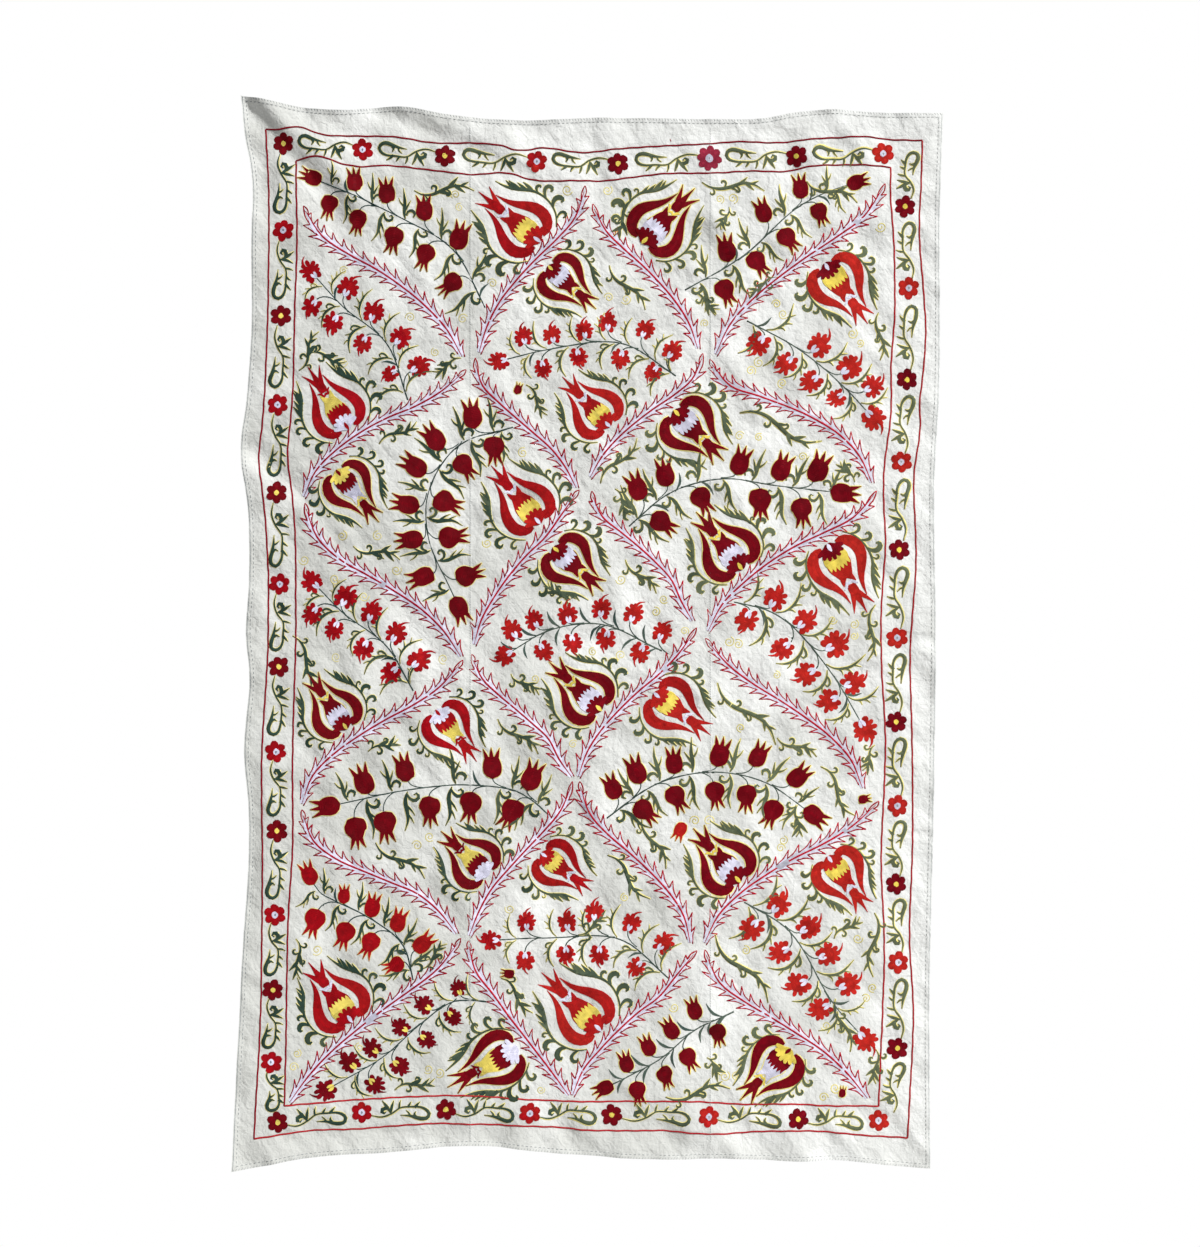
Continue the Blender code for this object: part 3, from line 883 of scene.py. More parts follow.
# sprigs of pomegranates and carnations: rows are sideways, upwards, half width
budRows = {
    "cup": {
        "body": [(0, 0, 2), (0, 3, 10), (0, 9, 15.5), (0, 18, 18), (0, 27, 17.5), (0, 35, 15.2),
                 (0, 41, 12.5)],
        "middle": [(0, 37, 4.6), (0, 47, 3.4), (0, 59, 0.4)],
        "side": [(8.5, 35, 5), (11.5, 45, 3.6), (16, 57, 0.4)],
    },
    "round": {
        "body": [(0, 0, 2), (0, 3, 12), (0, 9, 18), (0, 17, 20.8), (0, 25, 19.5), (0, 33, 14.5),
                 (0, 40, 10)],
        "middle": [(0, 36, 4), (0, 47, 3.2), (0, 61, 0.4)],
        "side": [(6, 36, 4.6), (9, 46, 3.6), (14.5, 58, 0.4)],
    },
}
carnationRows = {
    "lobes": [            # degrees from upright, reach, half width
        (-149, 20.5, 6.0), (-117, 18, 5.0), (-84, 19.5, 4.6), (-52, 20, 5.0), (-20, 21.5, 4.6),
        (12, 20, 4.8), (46, 21, 4.9), (80, 19, 4.6), (113, 19.5, 5.2), (148, 21.5, 6.2),
    ],
    "lobe": [(0.5, 0.85), (0.85, 1), (1.05, 0.92), (1.2, 0.42)],     # shares of reach and half width
    "uneven": {"degrees": 4, "reach": (0.93, 1.07), "half": (0.88, 1.1)},
    "middle": [(0, 8, 8), (0, 13, 13), (0, 21, 15.5), (0, 29, 13), (0, 34, 8)],
    "centreHeight": 21,
    "size": {"above": 0.98, "below": 0.93},
    "heart": [(0.5, 1, 0.8), (2.3, 6, 3.0), (3.7, 12, 3.7), (4.0, 16.5, 1.8)],
    "horn": {             # bent over towards the stem's root
        "above": [(-3, 33, 4.4), (-3, 42, 3.2), (2, 50, 2.2), (12, 56, 0.6)],
        "below": [(-3, 33, 4.2), (-3, 40, 3.0), (0, 47, 2.0), (6, 54, 0.6)],
    },
}
leafRows = {             # towards the stem's root and away from the stem
    "above": [
        [(0, 0, 1.2), (-2, 10, 3.8), (-1, 22, 5), (1, 36, 4.4), (1.5, 50, 2.8), (0, 66, 0.5)],
        [(1, 8, 2.6), (7, 16, 3.6), (14, 17, 4.2), (20, 9, 3.8), (15, 3, 1.2)],
        [(1, 20, 3.4), (8, 29, 2.6), (14, 39, 0.5)],
        [(-2, 28, 3), (-8, 36, 2), (-11, 46, 0.4)],
    ],
    "below": [
        [(0, 0, 1.2), (-3, 8, 3.2), (-4, 20, 5), (-1, 34, 4.8), (1, 50, 3.4), (-5, 70, 0.5)],
        [(-1, 5, 2.4), (4, 13, 3.4), (13, 16, 4.2), (20, 10, 3.8), (16, 3, 2.6), (11, 6, 1)],
        [(-1, 26, 3.4), (7, 34, 2.4), (13, 43, 0.5)],
        [(0, 40, 3), (7, 48, 2), (12, 57, 0.4)],
    ],
    "slim": [
        [(0, 0, 0.8), (-7, 12, 1.8), (-9, 28, 3.2), (-5, 43, 3.2), (4, 56, 2.0), (15, 67, 0.5)],
        [(-8, 20, 2.4), (-14, 26, 1.8), (-20, 28, 0.4)],
        [(-8, 32, 2.6), (-12, 40, 1.8), (-17, 46, 0.4)],
        [(-3, 44, 2.4), (-4, 52, 1.6), (-6, 60, 0.4)],
    ],
    "hooked": [
        [(0, 0, 1.0), (-7, 10, 2.4), (-12, 24, 3.8), (-11, 39, 3.8), (-3, 53, 2.4), (10, 64, 0.5)],
        [(-7, 10, 2.0), (-14, 12, 2.8), (-21, 18, 3.0), (-20, 25, 2.4), (-15, 24, 1)],
        [(-11, 28, 2.8), (-17, 36, 1.8), (-21, 42, 0.4)],
        [(-8, 42, 2.6), (-11, 50, 1.8), (-11, 58, 0.4)],
    ],
    "pod": [[(0, -3, 1), (-3, 8, 2.6), (-4, 19, 4.2), (-1, 30, 3.4), (6, 42, 0.5)]],
}
sprigs = [   # flower, thread, stem from root to tip, flowers above and below it as (share of the stem,
             # length of stalk, and its own size if any), leans, sizes at root and tip
    ("bud", "wine", [(-213, 393), (-279, 273), (-400, 201), (-557, 129)],
     [(0.29, 4), (0.475, 17), (0.67, 15), (0.82, 10)],
     [(0.185, 18), (0.42, 23), (0.59, 22), (0.775, 25), (0.93, 19)], -30, -14, (1.08, 0.88)),
    ("bud", "wine", [(201, 356), (315, 290), (455, 172), (518, 145), (540, 138)],
     [(0.255, 7), (0.545, 19), (0.75, 12)],
     [(0.185, 17), (0.38, 4), (0.56, 13), (0.80, 13)], 22, 4, (1.06, 0.86)),
    ("bud", "wine", [(-155, 640), (-269, 679), (-335, 799), (-333, 855), (-275, 996)],
     [(0.165, 17), (0.31, 17), (0.43, 18), (0.565, 13), (0.705, 10), (0.855, 15)],
     [(0.10, 7), (0.295, 13), (0.51, 13), (0.725, 19), (0.93, 18)], 8, 8, (1.06, 1.06)),
    ("bud", "wine", [(85, 845), (170, 776), (275, 747), (395, 762), (506, 774)],
     [(0.12, 20), (0.24, 13), (0.545, 9), (0.735, 10), (0.915, 15)],
     [(0.115, 13), (0.36, 9), (0.665, 10), (0.85, 18)], 16, -12, (1.1, 1.1)),
    ("bud", "wine", [(-81, 1443), (-132, 1401), (-238, 1381), (-358, 1389), (-518, 1421)],
     [(0.15, 10), (0.295, 15), (0.665, 16), (0.855, 7)],
     [(0.16, 15), (0.38, 13), (0.59, 17), (0.80, 31), (0.945, 30)], -8, 4, (1.1, 1.1)),
    ("bud", "wine", [(39, 1449), (145, 1377), (269, 1354), (371, 1377), (451, 1432)],
     [(0.095, 18), (0.22, 16), (0.365, 7), (0.55, 11), (0.71, 22), (0.865, 19)],
     [(0.14, 10), (0.33, 15), (0.53, 19), (0.705, 16), (0.88, 19)], 12, -10, (1.04, 1.04)),
    ("bud", "scarlet", [(-362, 1784), (-381, 1716), (-453, 1656), (-540, 1612), (-562, 1599), (-569, 1585)],
     [(0.175, 17), (0.34, 7, 0.92), (0.535, 3), (0.745, 3, 0.78)],
     [(0.13, 11, 0.88), (0.445, 22), (0.66, 31, 1.05), (0.88, 34, 1.2)], -22, -8, (0.96, 0.92)),
    ("podded bud", "wine", [(302, 1849), (221, 1888), (149, 1948), (50, 2000)],
     [(0.25, 19), (0.44, 13), (0.66, 18), (0.86, 8)],
     [(0.14, 9), (0.45, 18), (0.64, 18), (0.84, 19)], 10, 14, (0.88, 0.84)),
    ("carnation", "scarlet", [(-373, 584), (-416, 468), (-511, 387), (-562, 331)],
     [(0.155, 22), (0.35, 12), (0.545, 10), (0.785, 16)],
     [(0.19, 4, 0.82), (0.515, 18), (0.735, 20), (0.885, 30)], -16, -14, (0.98, 0.96)),
    ("carnation", "scarlet", [(182, 534), (75, 468), (-75, 478), (-170, 500)],
     [(0.10, 22), (0.27, 29), (0.425, 25), (0.545, 9), (0.72, 12), (0.88, 22)],
     [(0.115, 4), (0.33, 14), (0.60, 9), (0.81, 22)], 0, 0, (0.88, 0.88)),
    ("carnation", "scarlet", [(329, 420), (435, 478), (536, 563), (576, 606)],
     [(0.47, 8), (0.70, 13), (0.89, 20)],
     [(0.14, 9), (0.375, 17), (0.605, 16), (0.80, 9, 0.78)], 12, 10, (1.10, 1.08)),
    ("carnation", "scarlet", [(-362, 1186), (-416, 1095), (-511, 1021), (-558, 973)],
     [(0.145, 20), (0.37, 13), (0.57, 16), (0.79, 7)],
     [(0.20, 4), (0.50, 16), (0.735, 19), (0.905, 28)], -16, -14, (1.0, 0.98)),
    ("podded carnation", "scarlet", [(153, 1103), (19, 1047), (-89, 1064), (-158, 1104)],
     [(0.05, 18), (0.24, 24), (0.42, 14), (0.61, 4), (0.785, 14), (0.93, 18)],
     [(0.115, 4), (0.34, 9), (0.60, 20), (0.83, 17)], 0, 0, (0.94, 0.92)),
    ("carnation", "scarlet", [(302, 1002), (371, 1019), (505, 1151), (563, 1248)],
     [(0.19, 5), (0.385, 4), (0.575, 15), (0.79, 4)],
     [(0.095, 8), (0.41, 22), (0.615, 17), (0.82, 11)], 8, 8, (1.17, 1.12)),
    ("carnation", "scarlet", [(166, 1780), (72, 1702), (-79, 1697), (-186, 1701)],
     [(0.145, 28), (0.32, 23), (0.475, 33), (0.625, 14), (0.845, 19)],
     [(0.155, 12), (0.45, 22), (0.635, 19), (0.855, 30)], 0, 0, (0.94, 0.9)),
    ("carnation", "scarlet", [(323, 1623), (400, 1668), (518, 1846), (560, 1892)],
     [(0.155, 7), (0.35, 12), (0.525, 16), (0.725, 22)],
     [(0.115, 14), (0.375, 18), (0.595, 18), (0.765, 5)], 8, 8, (1.17, 1.10)),
    ("carnation", "wine", [(-207, 1830), (-275, 1828), (-346, 1875), (-422, 1942), (-528, 2004)],
     [(0.145, 12), (0.32, 9), (0.485, 5), (0.685, 12), (0.845, 8)],
     [(0.24, 15), (0.455, 19), (0.655, 20), (0.80, 23)], -16, -16, (0.78, 0.96)),
]
sprigSize = {
    "stem": 1.9,
    "stemThins": 0.75,
    "stemLift": 0.8,
    "stalk": 1.45,
    "stalkWay": [(26, 0), (11, 0.22), (-1, 0.66)],    # back along the stem, share of its own length
    "flowerOn": 4,            # how far on from the stalk's place its flower sits
    "flowerUneven": (0.94, 1.06),
    "budRims": {"wine": 1.55, "scarlet": 1.1},
    "hearts": {"wine": "yellow", "scarlet": "lilac"},
    "leafEnds": (0.02, 1.06),
    "leafGap": 0.08,          # flowers closer than this have no leaf between them
    "leafUpTo": 0.985,
    "leafOut": 3,
    "leafTurns": 8,
    "leafUneven": (0.9, 1.08),
    "leafWidth": 0.8,
    "leafAtLeast": 0.9,
    "lastLeaf": 0.85,
    "podGap": 0.24,           # flowers further apart than this have a pod as well
    "podAt": 0.14,
    "podTurn": 48,
    "podSize": 0.8,
}
sprigLeaves = {          # form above and below, degrees from the stem, share of the way between flowers
    "bud": ("above", "below", 88, 0.47),
    "podded bud": ("pod", "pod", 50, 0.3),
    "carnation": ("slim", "hooked", 70, 0.27),
    "podded carnation": ("pod", "pod", 55, 0.3),
}


def pomegranate(base, heading, scale, thread, form):
    rim = sprigSize["budRims"][thread]
    rows = budRows[form]
    for part, count, lift, mirror in (("side", 5, 1.0, 1), ("side", 5, 1.0, -1),
                                      ("middle", 5, 1.05, 1), ("body", 12, 1.15, 1)):
        placed = turned(rows[part], base, heading, scale, mirror)
        sewRimmed(pieceOf[thread], placed, count, thread, lift, rim)


def carnation(base, heading, scale, thread, place, side):
    # uneven round lobes about a middle, one horn, and a pale heart where the stalk comes in
    rows = carnationRows
    scale = scale * rows["size"][place]
    piece = pieceOf[thread]
    middle = np.array((0, rows["centreHeight"]))
    uneven = rows["uneven"]
    for number, (degrees, reach, half) in enumerate(rows["lobes"]):
        out = spun((0, 1), degrees + chance.normal(0, uneven["degrees"]))
        out = out * reach * chance.uniform(*uneven["reach"])
        half = half * chance.uniform(*uneven["half"])
        lobe = [(*(out * far + middle), half * wide) for far, wide in rows["lobe"]]
        sew(piece, turned(lobe, base, heading, scale, side), 7, thread, 0.95 + 0.05 * (number % 3))
    sew(piece, turned(rows["middle"], base, heading, scale), 8, thread, 1.08)
    sew(piece, turned(rows["horn"][place], base, heading, scale, side), 7, thread, 1.0)
    heart = sprigSize["hearts"][thread]
    for mirror in (-1, 1):
        sew(pieceOf[heart], turned(rows["heart"], base, heading, scale, mirror), 6, heart, 1.3)


def leaf(base, heading, size, side, form):
    for rows, count in zip(leafRows[form], (11, 9, 5, 5)):
        rows = np.array(rows, float) * (1, 1, sprigSize["leafWidth"])
        placed = turned(rows, base, heading, size, side)
        if form == "pod":
            sew("green_leaves", placed, 8, "stem", 0.95)
        else:
            sewRimmed("green_leaves", placed, count, "green", greenLift, 0.95, 0.35)


def sprig(kind, thread, stem, above, below, leanAbove, leanBelow, sizes):
    # flowers stand off the stem on curved stalks above and below it, with leaves between them
    size = sprigSize
    path = smoothThrough(stem, 12)
    thick, thin = size["stem"], size["stalk"]
    half = np.linspace(thick, thick * size["stemThins"], len(path))
    sew("green_stems", np.column_stack((path, half)), 34, "stem", size["stemLift"])
    upper = 1 if stem[-1][0] < stem[0][0] else -1
    hasBuds = kind.endswith("bud")
    formAbove, formBelow, leafLean, leafAt = sprigLeaves[kind]
    first, last = size["leafEnds"]
    for side, shares, lean in ((upper, above, leanAbove), (-upper, below, leanBelow)):
        isAbove = side == upper
        for share, stand, *own in shares:
            scale = sizes[0] + (sizes[1] - sizes[0]) * share
            at, way = along(stem, share)
            out = spun(way, 90 * side)
            aim = spun(out, lean)
            reach = out * stand * scale
            base = at + reach + way * size["flowerOn"]
            stalk = [(*(at - way * back + reach * share), thin) for back, share in size["stalkWay"]]
            sew("green_stems", [*stalk, (*base, thin)], 7, "stem", size["stemLift"])
            scale = scale * chance.uniform(*size["flowerUneven"]) * (own[0] if own else 1)
            if hasBuds:
                pomegranate(base, aim, scale, thread, "cup" if isAbove else "round")
            else:
                carnation(base, aim, scale, thread, "above" if isAbove else "below", side)
        ends = (first, *[flower[0] for flower in shares], last)
        for here, after in zip(ends[:-1], ends[1:]):
            between = here + (after - here) * leafAt
            if after - here < size["leafGap"] or between > size["leafUpTo"]:
                continue
            at, way = along(stem, between)
            turns = chance.uniform(-size["leafTurns"], size["leafTurns"])
            aim = spun(way, leafLean * side + lean + turns)
            scale = max(sizes[0] + (sizes[1] - sizes[0]) * between, size["leafAtLeast"])
            leafScale = scale * chance.uniform(*size["leafUneven"])
            leafScale = leafScale * (size["lastLeaf"] if after == last else 1)
            form = formAbove if isAbove else formBelow
            leaf(at + aim * size["leafOut"], aim, leafScale, side, form)
            if after - here > size["podGap"]:
                at, way = along(stem, here + size["podAt"] * (after - here))
                leaf(at, spun(way, size["podTurn"] * side), scale * size["podSize"], side, "pod")
    at, way = along(stem, 0.999)
    if hasBuds:
        pomegranate(at + way * 3, way, sizes[1], thread, "cup")
    else:
        carnation(at + way * 3, way, sizes[1], thread, "above", 1)


for row in sprigs:
    sprig(*row)
print("sprigs sewn")

# loose scrolls, spirals and small flowers that fill the gaps
scrollRows = {
    "length": 112,
    "stem": [(0, 0, 0.8), (8, 14, 2.0), (10, 32, 3.2), (4, 52, 3.8), (-3, 72, 3.4), (-2, 92, 2.2),
             (8, 112, 0.7)],
    "curls": [(0.20, 0.62, 1), (0.36, 0.72, -1), (0.54, 0.66, 1)],     # share, size, side
    "thorns": [(0.46, 1.1, 1), (0.64, 1.1, -1), (0.72, 1.1, 1), (0.80, 0.9, -1)],
}
scrolls = [              # x, drop, to x, to drop, mirror
    (-360, 150, -236, 142, 1), (-598, 524, -562, 440, 1), (-576, 488, -500, 510, -1),
    (-128, 552, -88, 618, -1), (-262, 498, -318, 530, 1),
    (-486, 886, -388, 908, 1), (-432, 674, -352, 634, -1), (-186, 1244, -98, 1310, 1),
    (314, 610, 480, 680, -1), (78, 914, 146, 980, 1), (268, 1168, 398, 1288, 1),
    (594, 1008, 586, 1124, 1), (-604, 1698, -600, 1782, -1), (-440, 1500, -334, 1568, 1),
    (-400, 2012, -316, 1994, -1), (-180, 1780, -120, 1856, -1), (40, 1526, 122, 1622, -1),
    (112, 1448, 168, 1550, 1), (482, 1342, 544, 1448, -1), (264, 1690, 382, 1822, 1),
    (508, 1698, 566, 1656, -1), (592, 1644, 580, 1776, -1), (160, 2026, 292, 2000, 1),
    (512, 1822, 550, 1930, 1), (452, 132, 560, 168, 1), (236, 132, 366, 142, 1),
    (-612, 1072, -560, 1180, -1), (90, 170, 56, 250, 1), (392, 330, 330, 366, 1),
    (-40, 1010, -86, 962, 1), (-20, 1690, 40, 1650, 1),
    (214, 360, 270, 400, -1), (44, 304, 124, 392, 1), (602, 402, 612, 500, 1),
    (-160, 1150, -98, 1190, 1), (-455, 1312, -392, 1290, -1), (56, 768, 84, 824, -1),
    (26, 756, 108, 668, -1), (552, 754, 520, 714, 1), (594, 1298, 572, 1352, 1),
    (-345, 1762, -296, 1706, 1), (434, 1422, 436, 1488, 1), (246, 1944, 272, 1982, -1),
    (596, 1928, 590, 1998, -1), (392, 1283, 476, 1316, 1), (292, 183, 271, 230, -1),
]
spiralSize = {
    "turns": 1.6,
    "outer": 10,
    "inner": 1.5,
    "half": 1.3,
    "uneven": (0.85, 1.15),
    "places": 16,
    "lift": 0.8,
}
spirals = [              # x, drop
    (-274, 159), (-266, 185), (-43, 149), (-198, 342), (-259, 416), (-506, 316), (-368, 413), (-316, 485),
    (-508, 505), (40, 149), (273, 168), (300, 166), (390, 385), (404, 406), (242, 425), (43, 371),
    (79, 375), (354, 506), (337, 523), (402, 549), (547, 447), (563, 466), (606, 226), (314, 658),
    (354, 661), (444, 701), (-588, 915), (-524, 954), (-464, 990), (-522, 1116), (-300, 1120),
    (-397, 936), (-509, 865), (-435, 865), (-135, 693), (-209, 880), (68, 955), (157, 996), (140, 1022),
    (200, 1062), (10, 1105), (68, 1112), (292, 1084), (311, 1089), (506, 1039), (551, 1048), (551, 1072),
    (390, 1153), (316, 1262), (-31, 1296), (-110, 1161), (221, 1454), (250, 1454), (404, 1495),
    (399, 1511), (76, 1613), (326, 1722), (558, 1698), (589, 1800), (575, 1822), (492, 1879),
    (178, 1841), (283, 1983), (307, 1983), (511, 2007), (487, 2026), (-561, 1722), (-354, 1506),
    (-328, 1488), (-602, 1936), (-609, 1964), (-473, 1924), (-331, 1969), (-307, 1976), (-98, 2012),
    (-162, 1637),
]
smallFlowers = [         # thread, x, drop, size, degrees from upright
    ("wine", -149, 572, 0.46, 20), ("scarlet", 198, 1458, 0.72, 205), ("wine", 559, 1412, 0.5, 80),
    ("wine", 524, 2026, 0.42, 10), ("wine", -152, 1772, 0.52, -85),
]


def looseScroll(x, drop, tipX, tipDrop, mirror):
    rows = scrollRows
    heading = (tipX - x, tipDrop - drop)
    scale = np.hypot(*heading) / rows["length"]
    wide = np.array(rows["stem"], float) * (1, 1, 1 / np.sqrt(scale))
    stem = turned(wide, (x, drop), heading, scale, mirror)
    sewRimmed("green_stems", stem, 18, "green", scrollLift, 1.1, 0.5)
    for kind in ("curl", "thorn"):
        for share, size, side in rows[kind + "s"]:
            shoot(kind, stem, share, size, side * mirror)


def spiral(x, drop):
    # radius grows evenly with the turn
    size = spiralSize
    turn = np.linspace(0, 2 * np.pi * size["turns"], size["places"]) * chance.choice((-1, 1))
    radius = np.linspace(size["outer"], size["inner"], size["places"])
    radius = radius * chance.uniform(*size["uneven"])
    turn = turn + chance.uniform(0, 2 * np.pi)
    half = np.full(len(turn), size["half"])
    rows = np.column_stack((x + radius * np.cos(turn), drop + radius * np.sin(turn), half))
    sew("leaf_outlines", rows, 26, "outline", size["lift"])


for row in scrolls:
    looseScroll(*row)
for place in spirals:
    spiral(*place)
for thread, x, drop, size, degrees in smallFlowers:
    pomegranate((x, drop), spun((0, -1), degrees), size, thread, "cup")
print("scrolls sewn")

# border: two red lines, with rosettes and vines between them
border = {
    "lines": [            # x, drop along each side, clockwise from the top left corner
        [(-668, 22), (-635, 24), (-604, 19), (-545, 35), (-483, 37), (-416, 38), (-316, 51),
         (-217, 53), (-174, 59), (-155, 66), (-88, 62), (-12, 71), (52, 65), (147, 58), (242, 54),
         (308, 49), (365, 51), (517, 41), (574, 39), (622, 44), (692, 47)],
        [(692, 47), (689, 140), (686, 226), (696, 378), (699, 425), (692, 539), (686, 596),
         (688, 625), (675, 734), (679, 910), (667, 1105), (670, 1267), (672, 1489), (666, 1722),
         (672, 1822), (661, 2111)],
        [(661, 2111), (574, 2105), (503, 2098), (365, 2097), (299, 2102), (147, 2097), (4, 2095),
         (-103, 2088), (-245, 2083), (-326, 2082), (-464, 2092), (-587, 2097), (-691, 2112)],
        [(-691, 2112), (-680, 1917), (-674, 1560), (-675, 1314), (-663, 1100), (-664, 887),
         (-675, 758), (-682, 711), (-674, 634), (-661, 311), (-663, 111), (-668, 22)],
        [(-605, 88), (-578, 81), (-554, 81), (-511, 95), (-473, 101), (-426, 98), (-340, 106),
         (-245, 117), (-160, 115), (-122, 126), (-22, 130), (52, 128), (90, 123), (166, 115),
         (251, 114), (327, 110), (418, 109), (441, 104), (574, 98), (627, 102)],
        [(627, 102), (626, 140), (634, 283), (634, 420), (627, 515), (628, 587), (612, 744),
         (615, 891), (607, 1015), (608, 1148), (615, 1267), (607, 1560), (612, 1679), (601, 2045)],
        [(601, 2045), (479, 2043), (408, 2040), (337, 2041), (218, 2036), (4, 2036), (-126, 2032),
         (-245, 2024), (-388, 2027), (-521, 2035), (-628, 2044)],
        [(-628, 2044), (-625, 1917), (-620, 1646), (-612, 1513), (-612, 1338), (-605, 1029),
         (-609, 815), (-621, 701), (-612, 587), (-606, 373), (-602, 254), (-604, 135), (-605, 88)],
    ],
    "line": 1.9,
    "linePlaces": 200,
    "lineLift": 1.0,
    "wobble": 0.4,
    "wobbleRun": 6,       # mm along the line for each radian of its wobble
    "rosettes": [        # x, drop, clockwise from the top left corner, wine and scarlet by turns
        (-631, 52), (-467, 65), (-296, 79), (-106, 90), (62, 94), (251, 84), (431, 80), (611, 74),
        (656, 184), (664, 352), (660, 542), (648, 712), (644, 894), (640, 1076), (638, 1250),
        (640, 1424), (638, 1586), (642, 1747), (640, 1925),
        (601, 2075), (435, 2071), (250, 2066), (50, 2064), (-120, 2060), (-294, 2053),
        (-468, 2058), (-642, 2078),
        (-656, 1954), (-652, 1805), (-648, 1650), (-644, 1476), (-646, 1312), (-640, 1136),
        (-638, 965), (-644, 776), (-642, 594), (-635, 410), (-631, 232),
    ],
    "roseAt": 5,
    "cornerVines": {      # the vines after these rosettes run straight on: root, tip
        7: ((660, 182), (668, 44)),
        18: ((624, 2072), (642, 1926)),
    },
    "kinds": {            # centre and its size, petals, size
        "wine": ("yellow", 0.8, 6, 1.0),
        "scarlet": ("lilac", 1.0, 6, 1.0),
        "rose": ("lilac", 1.0, 8, 1.18),
    },
    "turn": 14,           # degrees by which a rosette may stand turned
    "petalUneven": (0.95, 1.06),
    "petalThins": 0.7,    # a petal narrows with this power of how many there are, from six on
    "petalLifts": (1.05, 1.09),
    "centreLift": 1.5,
    "dotLift": 1.65,
    "petal": [(0, 3, 3), (0, 9, 6.8), (0, 14, 8.2), (0, 18.5, 7.2), (0, 22, 3.4)],
    "centre": [(0, -7, 1.6), (0, -4, 5.6), (0, 0, 7), (0, 4, 5.6), (0, 7, 1.6)],
    "dot": [(0, -3, 0.8), (0, 0, 2.6), (0, 3, 0.8)],
}
vineRows = {             # towards the cloth's edge, along the border from the middle, half width
    "stem": [(12, -68, 0.9), (16.5, -46, 2.0), (9, -24, 2.1), (-2, -8, 1.9), (-3, 18, 2.3),
             (-1.5, 36, 2.7), (3, 46, 3.3), (11, 51.5, 3.8), (20, 48, 4.0), (22.5, 39, 4.4),
             (19.5, 27, 4.2), (15.5, 13, 3.0), (13, -7, 0.6)],
    "parts": [
        [(-2, 22, 3.4), (-8, 28, 2.6), (-13, 34, 0.5)],
        [(-3, 8, 2.8), (-9, 12, 2.2), (-14, 15, 0.5)],
        [(-2, -9, 2.2), (-10, -8, 2.2), (-18, -5, 0.5)],
        [(9, -27, 1.8), (-4, -25, 3.4), (-18, -20, 0.6)],
        [(7, -27, 2.0), (-4, -34, 3.8), (-19, -44, 0.6)],
        [(-1, -33, 2.8), (-2, -41, 4.6), (4.5, -46, 4.2), (9, -40, 2.4), (5, -36, 0.8)],
        [(17, 24, 3.2), (12, 21, 2.8), (5, 24, 0.6)],
        [(14, 12, 2.4), (9, 10, 2.0), (3, 4, 0.5)],
    ],
    "gap": 172,
    "inwards": 5,
}


def borderLine(side):
    # a line through its own points, with the small wobble of hand sewing: the sine of the length
    # along it
    places = border["linePlaces"]
    path = smoothThrough(side, places)
    length = np.hypot(*(path[-1] - path[0]))
    waves = np.sin(np.linspace(0, length / border["wobbleRun"], places) + chance.uniform(0, 6))
    path = path + beside(path) * border["wobble"] * waves[:, None]
    half = np.full(places, border["line"])
    sew("border_lines", np.column_stack((path, half)), 240, "border", border["lineLift"])


def rosette(at, kind):
    # petals all round, each second one a little higher, and a round centre, dotted if it is lilac
    centre, centreSize, count, size = border["kinds"][kind]
    up = (0, -1)
    start = chance.uniform(-border["turn"], border["turn"])
    petal = np.array(border["petal"]) * (1, 1, (6 / count) ** border["petalThins"])
    for number in range(count):
        heading = spun(up, start + 360 / count * number)
        placed = turned(petal, at, heading, size * chance.uniform(*border["petalUneven"]))
        sew(pieceOf[kind], placed, 7, kind, border["petalLifts"][number % 2])
    middle = turned(border["centre"], at, up, size * centreSize)
    sew(pieceOf[centre], middle, 7, centre, border["centreLift"])
    if centre == "lilac":
        sew("pale_fillings", turned(border["dot"], at, up), 5, "hem", border["dotLift"])


def borderVine(start, end):
    # a stem that leaves one rosette, crosses the band and loops back before the next
    start, end = np.array(start, float), np.array(end, float)
    run = (end - start) / np.hypot(*(end - start))
    middle = (start + end) / 2 - np.array((-run[1], run[0])) * vineRows["inwards"]
    stretch = np.hypot(*(end - start)) / vineRows["gap"]
    shape = (1, stretch, 1)
    placed = turned(np.array(vineRows["stem"]) * shape, middle, end - start)
    sewRimmed("green_stems", placed, 34, "green", scrollLift, 1.0, 0.5)
    for rows in vineRows["parts"]:
        placed = turned(np.array(rows) * shape, middle, end - start)
        sewRimmed("green_leaves", placed, 6, "green", greenLift, 1.0, 0.4)


for side in border["lines"]:
    borderLine(side)
ring = border["rosettes"]
for number, place in enumerate(ring):
    kind = "rose" if number == border["roseAt"] else ("wine", "scarlet")[number % 2]
    rosette(place, kind)
    borderVine(*border["cornerVines"].get(number, (ring[(number + 1) % len(ring)], place)))
print("border sewn")

# hem stitches all round, a grey line of painted shade along the rolled side edges, and the joining stitches
# of the two seams
handStitch = {
    "hemIn": 9,
    "hemPitch": 9,
    "hemLength": 5,
    "aboveHem": 0.5,
    "rolledEdgeShadeIn": 2.5,          # painted shade: a grey line along the rolled side edges, standing in for their shade
    "rolledEdgeShadeHalf": 1.0,
    "rolledEdgeShadePlaces": 120,
    "seamDrops": (20, 2120),
    "seamPitch": 5,
    "seamReach": 0.7,
    "seamLength": 3.8,
    "seamLift": 1.1,
    "edgePitch": 6,
    "edgeIn": 0.4,
    "edgeAcross": 2,
    "edgeReach": 4.5,
    "half": 0.7,
    "endHalf": 0.3,
    "edgeHalf": 0.9,
    "strayStitch": (170, 43, 172, 49),
    "strayHalf": 1.6,
    "strayLift": 0.9,
}


